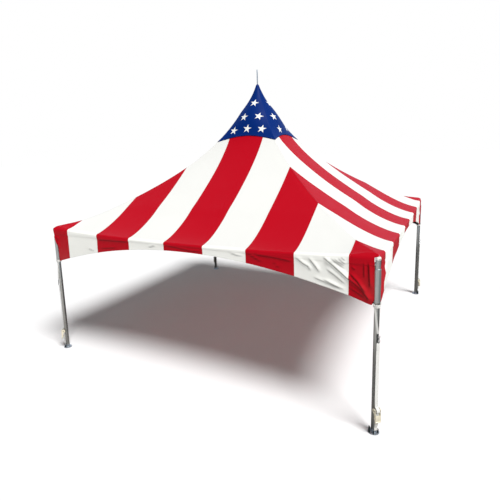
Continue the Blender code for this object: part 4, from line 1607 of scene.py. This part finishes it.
@dataclass
class TieDown:
    """White webbing with its tie, V, long strap, lap and tail, the black hook, and a black band of painted
    shade.
    """

    thick: float = 0.003
    width: float = 0.050
    tie_z: float = 1.838
    vee_top: Point = (0.0100, 0.0440)
    vee_foot: Point = (0.0475, 0.0085)
    vee_foot_z: float = 1.452
    strap_top: float = 1.325
    hook_r: float = 0.0300
    hook_wire: float = 0.0046

    def tie(self) -> list[Form]:
        """Turns of webbing round the sleeve's lower end."""
        forms = []
        for layer, (low, high) in enumerate(((-0.022, 0.004), (-0.004, 0.022))):
            inner = 0.0440 + 0.0012 * layer
            forms.append(Form.turned([
                (inner + 0.0042, self.tie_z + high), (inner + 0.0042, self.tie_z + low),
                (inner, self.tie_z + low), (inner, self.tie_z + high)], 40, ring=True, bevel=0.0009))
        return forms

    def vee(self) -> list[Form]:
        """Two narrow bands from the tie down to the hook."""
        forms = []
        for hand in (1, -1):
            top = Vector((self.vee_top[0] + 0.002, hand * self.vee_top[1], self.tie_z + 0.008))
            foot = Vector((self.vee_foot[0], hand * self.vee_foot[1], self.vee_foot_z + 0.012))
            run = foot - top
            face = Vector((-hand * run.y, hand * run.x, 0)).normalized()
            path = [top + run * share for share in (0, 0.25, 0.5, 0.75, 1)]
            forms.append(Form.ribbon(path, 0.026, self.thick, face.cross(run)))
        return forms

    def strap(self) -> list[Form]:
        """Long strap with a sewn fold at the hook and round the clevis pin."""
        x = PLAN.strap_x + self.thick / 2
        pin_x, pin_z = PLAN.pin
        path = [(x, 0, z) for z in (self.strap_top, 1.2, 0.9, 0.6, 0.40, 0.20, pin_z + 0.030)]
        path += [(pin_x + 0.0078, 0, pin_z + 0.012)]
        path += [(pin_x + 0.0078 * math.cos(a), 0, pin_z + 0.0078 * math.sin(a))
                 for a in (math.radians(step) for step in range(10, -200, -30))]
        path += [(x - 0.0034, 0, pin_z + 0.028), (x - 0.0034, 0, pin_z + 0.11)]
        body = Form.ribbon(path, self.width, self.thick * 0.92)
        fold = [(x + 0.0001, 0, self.strap_top - 0.10), (x + 0.0030, 0, self.strap_top - 0.085),
                (x + 0.0032, 0, self.strap_top - 0.02), (x + 0.0030, 0, self.strap_top + 0.004),
                (x + 0.0016, 0, self.strap_top + 0.010)]
        return [body, Form.ribbon(fold, self.width * 0.96, 0.0024)]

    def wound(self) -> list[Form]:
        """Webbing that bows out to the ratchet's spool, its turns there and the tail behind the lever."""
        x, z = PLAN.axle_x, PLAN.axle_z
        turns = Form.turned([(0.0215, 0.0255), (0.0215, -0.0255), (0.0095, -0.0255), (0.0095, 0.0255)], 40,
                            ring=True, bevel=0.0030)
        turns.moved(Matrix.Translation((x + 0.004, 0, z)) @ Matrix.Rotation(math.pi / 2, 4, "X"))
        bow = [(-0.0076, 0.115), (-0.0073, 0.080), (-0.0043, 0.055), (0.0072, 0.044), (0.0232, 0.036),
               (0.0352, 0.023), (0.0410, 0.006), (0.0380, -0.012), (0.0270, -0.022), (0.0100, -0.022)]
        tail = [(0.010, -0.019), (0.0160, -0.040), (0.0155, -0.075), (0.0100, -0.110), (0.0040, -0.150),
                (0.0020, -0.205), (0.0030, -0.235)]
        return [turns] + [Form.ribbon([(x + out, 0, z + up) for out, up in path], self.width * 0.98, 0.0022)
                          for path in (bow, tail)]

    def tabs(self) -> list[Form]:
        """Short tabs from the lower corners of the valances to the tie."""
        forms = []
        for hand in (1, -1):
            across = Vector((0, 0, 1))
            corner = Vector((0.0136, hand * 0.0640, 1.876))
            ring = Vector((0.0180, hand * 0.0400, self.tie_z + 0.004))
            path = [corner + (ring - corner) * share for share in (0, 0.35, 0.7, 1)]
            forms.append(Form.ribbon(path, 0.018, 0.0022, across))
        return forms

    def shade_band(self) -> Form:
        """Black band of painted shade inside the corner, from one valance's hem round the inner side of the
        sleeve to the other's.
        """
        half = [(-0.114, 0.150, 1.906), (-0.078, 0.108, 1.898), (-0.060, 0.058, 1.882),
                (-0.0555, 0.024, 1.868)]
        path = half + [(-0.0540, 0.0, 1.864)] + [(x, -y, z) for x, y, z in half[::-1]]
        return Form.ribbon(path, 0.050, 0.0026, Vector((0, 0, 1)))

    def hook(self) -> list[Form]:
        """Black S-hook between the V and the long strap."""
        middle = (self.vee_foot_z + self.strap_top) / 2 + 0.004
        forms = []
        for hand in (1, -1):
            half = Form.ring(self.hook_r, self.hook_wire, 44, 12, math.radians(290))
            turn = Matrix.Rotation(math.radians(-90 if hand > 0 else 90), 4, "Y")
            forms.append(half.moved(
                Matrix.Translation((PLAN.strap_x + 0.003, 0, middle + hand * self.hook_r))
                @ Matrix.Rotation(math.pi / 2, 4, "Z") @ Matrix.Diagonal((0.74, 1.0, 1.0, 1.0)) @ turn))
        return forms

    def build(self) -> None:
        """Make the webbing and hooks of the four corners."""
        for letter, place in corners():
            web = Piece(f"tie_strap_{letter}", WEB, replaces=(f"strap_{letter}",), place=place)
            web.add(*self.tie(), *self.vee(), *self.strap(), *self.wound(), *self.tabs()).build()
            Piece(f"strap_hook_{letter}", BLACKED, place=place).add(*self.hook()).build()
            # the black band is painted shade inside the corner
            Piece(f"corner_shade_band_{letter}", SHADE_WEB, place=place).add(self.shade_band()).build()


@dataclass
class Ratchet:
    """Ratchet buckle: frame plates, gears, spool, pawl and bolt, and the lever on its own body."""

    frame_y: float = 0.0300
    plate: float = 0.003
    teeth: int = 13
    gear_r: float = 0.0205
    root_r: float = 0.0160
    handle_y: float = 0.0382
    reach: float = 0.155
    stand: float = 0.034

    def gear(self) -> Form:
        """Toothed disc in the XZ plane."""
        points = []
        for tooth in range(self.teeth):
            base = tooth * math.tau / self.teeth
            for share, radius in ((0.0, self.root_r), (0.12, self.gear_r), (0.30, self.gear_r),
                                  (0.85, self.root_r)):
                angle = base + share * math.tau / self.teeth
                points.append((radius * math.cos(angle), radius * math.sin(angle)))
        return Form.outline(points[::-1], 0.0030, 0.0004)

    def frame(self) -> list[Form]:
        """Fixed side plates, spool, gears, bolt and pawl."""
        x, z = PLAN.axle_x, PLAN.axle_z
        left = PLAN.strap_x + PLAN.strap_thick + 0.0003
        side = [(x + 0.006, z, 0.0205), (x + 0.002, z + 0.014, 0.0105), (left + 0.0075, 0.2445, 0.0072),
                (left + 0.014, 0.262, 0.0072)]
        forms = []
        for y in (self.frame_y - self.plate, -self.frame_y):
            forms.append(Form.slab(side, self.plate, 0.0006).moved(Matrix.Translation((0, y, 0))))
        for y in (self.frame_y + 0.0003, -self.frame_y - 0.0033):
            forms.append(self.gear().moved(Matrix.Translation((x, y, z))))
        bolt_x, bolt_z = left + 0.005, 0.245
        forms.append(Form.bar((bolt_x, -0.0340, bolt_z), (bolt_x, 0.0340, bolt_z), 0.0050, 20))
        for hand in (1, -1):
            forms.append(Form.bar((bolt_x, hand * 0.0302, bolt_z), (bolt_x, hand * 0.0345, bolt_z), 0.0082, 6,
                                  0.0008))
        forms.append(Form.block((x + 0.010, -0.0268, z - 0.062), (x + 0.013, 0.0268, z - 0.040), 0.0008))
        forms.append(Form.block((x + 0.008, -0.0268, z - 0.074), (x + 0.022, 0.0268, z - 0.071), 0.0008))
        return forms

    def axle(self) -> Form:
        """Dark spindle through the plates and the lever."""
        x, z = PLAN.axle_x, PLAN.axle_z
        return Form.bar((x, -0.0440, z), (x, 0.0440, z), PLAN.axle_r, 32, 0.0015)

    def lever(self) -> list[Form]:
        """Handle arms with a cross grip and the release bar, about the axle."""
        x, z = PLAN.axle_x, PLAN.axle_z
        forms = []
        for y in (self.handle_y, -self.handle_y - self.plate):
            arm = Form.slab([(0.0, 0.0, 0.0150), (0.020, -0.030, 0.0145), (self.stand, -self.reach, 0.0080)],
                            self.plate, 0.0006)
            forms.append(arm.moved(Matrix.Translation((x, y, z))))
            outer = y + self.plate if y > 0 else y
            hand = math.copysign(1.0, y)
            disc = Form.turned([(0.0118, 0.0022), (0.0350, 0.0022), (0.0350, -0.0018), (0.0118, -0.0018)], 40,
                               ring=True, bevel=0.0006)
            forms.append(disc.moved(Matrix.Translation((x, outer + hand * 0.0010, z))
                                    @ Matrix.Rotation(math.pi / 2, 4, "X")))
        grip_x, grip_z = x + self.stand, z - self.reach
        half = self.handle_y + self.plate
        grip = Form.turned([(0, half), (0.0065, half), (0.0092, half - 0.004), (0.0095, 0.0),
                            (0.0092, -half + 0.004), (0.0065, -half), (0, -half)], 32, bevel=0.001)
        forms.append(grip.moved(
            Matrix.Translation((grip_x, 0, grip_z)) @ Matrix.Rotation(math.pi / 2, 4, "X")))
        web = [(x + 0.0310, z - 0.060), (x + 0.0335, z - 0.060), (x + 0.0375, z - 0.150),
               (x + 0.0350, z - 0.150)]
        forms.append(Form.outline(web, 0.0764).moved(Matrix.Translation((0, -0.0382, 0))))
        forms.append(Form.bar((x + 0.0265, -0.0382, z - 0.082), (x + 0.0265, 0.0382, z - 0.082), 0.0034, 14))
        return forms

    def build(self) -> None:
        """Make the four ratchets."""
        for letter, place in corners():
            Piece(f"ratchet_frame_{letter}", GOLD, replaces=(f"ratchet_{letter}",), place=place).add(
                *self.frame()).build()
            Piece(f"ratchet_axle_{letter}", BLACKED, place=place).add(self.axle()).build()
            Piece(f"ratchet_lever_{letter}", GOLD, body=f"handle_{letter}",
                  replaces=(f"ratchet_handle_{letter}",), place=place).add(*self.lever()).build()


# Studio
@dataclass
class Studio:
    """Pale floor, soft lights and the camera at the photograph's angle."""

    spot: tuple[float, float, float] = (3.8951, -8.5228, 3.9387)
    yaw: float = 0.50466
    pitch: float = 0.17562
    roll: float = -0.03457
    focal_px: float = 421.21
    centre_px: Point = (-21.23, -27.78)
    frame_px: float = 500.0
    ambient: float = 0.20
    key_level: float = 1.26
    key_spread: float = 24.0
    key_from: tuple[float, float, float] = (0.46, -0.25, 0.852)
    mirrored_sky: tuple[float, float, float] = (0.58, 0.76, 0.96)

    def camera(self) -> None:
        """Set the camera from the fitted pose."""
        level_way = Vector((-math.sin(self.yaw), math.cos(self.yaw), 0)) * math.cos(self.pitch)
        forward = level_way - Vector((0, 0, math.sin(self.pitch)))
        level = Vector((math.cos(self.yaw), math.sin(self.yaw), 0))
        upright = level.cross(forward)
        right = level * math.cos(self.roll) + upright * math.sin(self.roll)
        up = upright * math.cos(self.roll) - level * math.sin(self.roll)
        lens = bpy.data.cameras.new("camera")
        lens.sensor_width = 36.0
        lens.lens = self.focal_px * lens.sensor_width / self.frame_px
        lens.shift_x = -self.centre_px[0] / self.frame_px
        lens.shift_y = self.centre_px[1] / self.frame_px
        lens.clip_end = 400.0
        camera = bpy.data.objects.new("camera", lens)
        turn = Matrix((right, up, -forward)).transposed().to_4x4()
        camera.matrix_world = Matrix.Translation(self.spot) @ turn
        bpy.context.scene.collection.objects.link(camera)
        bpy.context.scene.camera = camera

    def key(self) -> None:
        """Broad soft light from high on the right of the camera."""
        light = bpy.data.lights.new("key_light", "SUN")
        light.energy = self.key_level * math.pi
        light.angle = math.radians(self.key_spread)
        holder = bpy.data.objects.new("key_light", light)
        holder.rotation_euler = (-Vector(self.key_from)).to_track_quat("-Z", "Y").to_euler()
        bpy.context.scene.collection.objects.link(holder)

    def floor(self) -> None:
        """Wide pale floor, which metal mirrors as dark under the tent and behind it."""
        graph = Graph("studio_floor")
        cloudy = graph.cloud(graph.place(), 0.5, 2.0)
        east, north, _ = graph.parts(graph.place())
        behind = (north + east * 0.45).fade(-6.6, -3.4)
        mirrored = graph.value("ShaderNodeLightPath", output="Is Glossy Ray")
        colour = graph.shade((0.83, 0.83, 0.83), 1.0 - 0.02 * cloudy - 0.74 * mirrored * behind)
        material = graph.finish(colour, 0.9, Specular_IOR_Level=0.1)
        bm = bmesh.new()
        bmesh.ops.create_circle(bm, cap_ends=True, segments=96, radius=150.0)
        mesh = bpy.data.meshes.new("studio_floor")
        bm.to_mesh(mesh)
        bm.free()
        mesh.materials.append(material)
        ground = bpy.data.objects.new("studio_floor", mesh)
        bpy.context.scene.collection.objects.link(ground)

    def sky(self) -> None:
        """Even surround: white where it is seen, bluish in reflections and dimmer as a light."""
        world = bpy.data.worlds.new("studio_sky")
        world.use_nodes = True
        nodes, links = world.node_tree.nodes, world.node_tree.links
        path = nodes.new("ShaderNodeLightPath")
        level = nodes.new("ShaderNodeMapRange")
        level.inputs["To Min"].default_value = 1.0
        level.inputs["To Max"].default_value = self.ambient
        links.new(path.outputs["Is Diffuse Ray"], level.inputs["Value"])
        tint = nodes.new("ShaderNodeMix")
        tint.data_type = "RGBA"
        tint.inputs["A"].default_value = (1.0, 1.0, 1.0, 1.0)
        tint.inputs["B"].default_value = (*self.mirrored_sky, 1.0)
        links.new(path.outputs["Is Glossy Ray"], tint.inputs["Factor"])
        links.new(tint.outputs["Result"], nodes["Background"].inputs["Color"])
        links.new(level.outputs["Result"], nodes["Background"].inputs["Strength"])
        bpy.context.scene.world = world

    def build(self) -> None:
        """Set up the floor, surround, lights and camera."""
        self.floor()
        self.sky()
        self.key()
        self.camera()
        bpy.context.scene.view_settings.view_transform = "Standard"


def main() -> None:
    """Build the marquee and its studio."""
    logging.basicConfig(level=logging.INFO, format="%(message)s")
    Studio().build()
    TubeFrame().build()
    Canopy().build()
    StarCap().build()
    CornerHead().build()
    MastStack().build()
    Stay().build()
    BasePlate().build()
    TieDown().build()
    Ratchet().build()


if __name__ == "__main__":
    main()
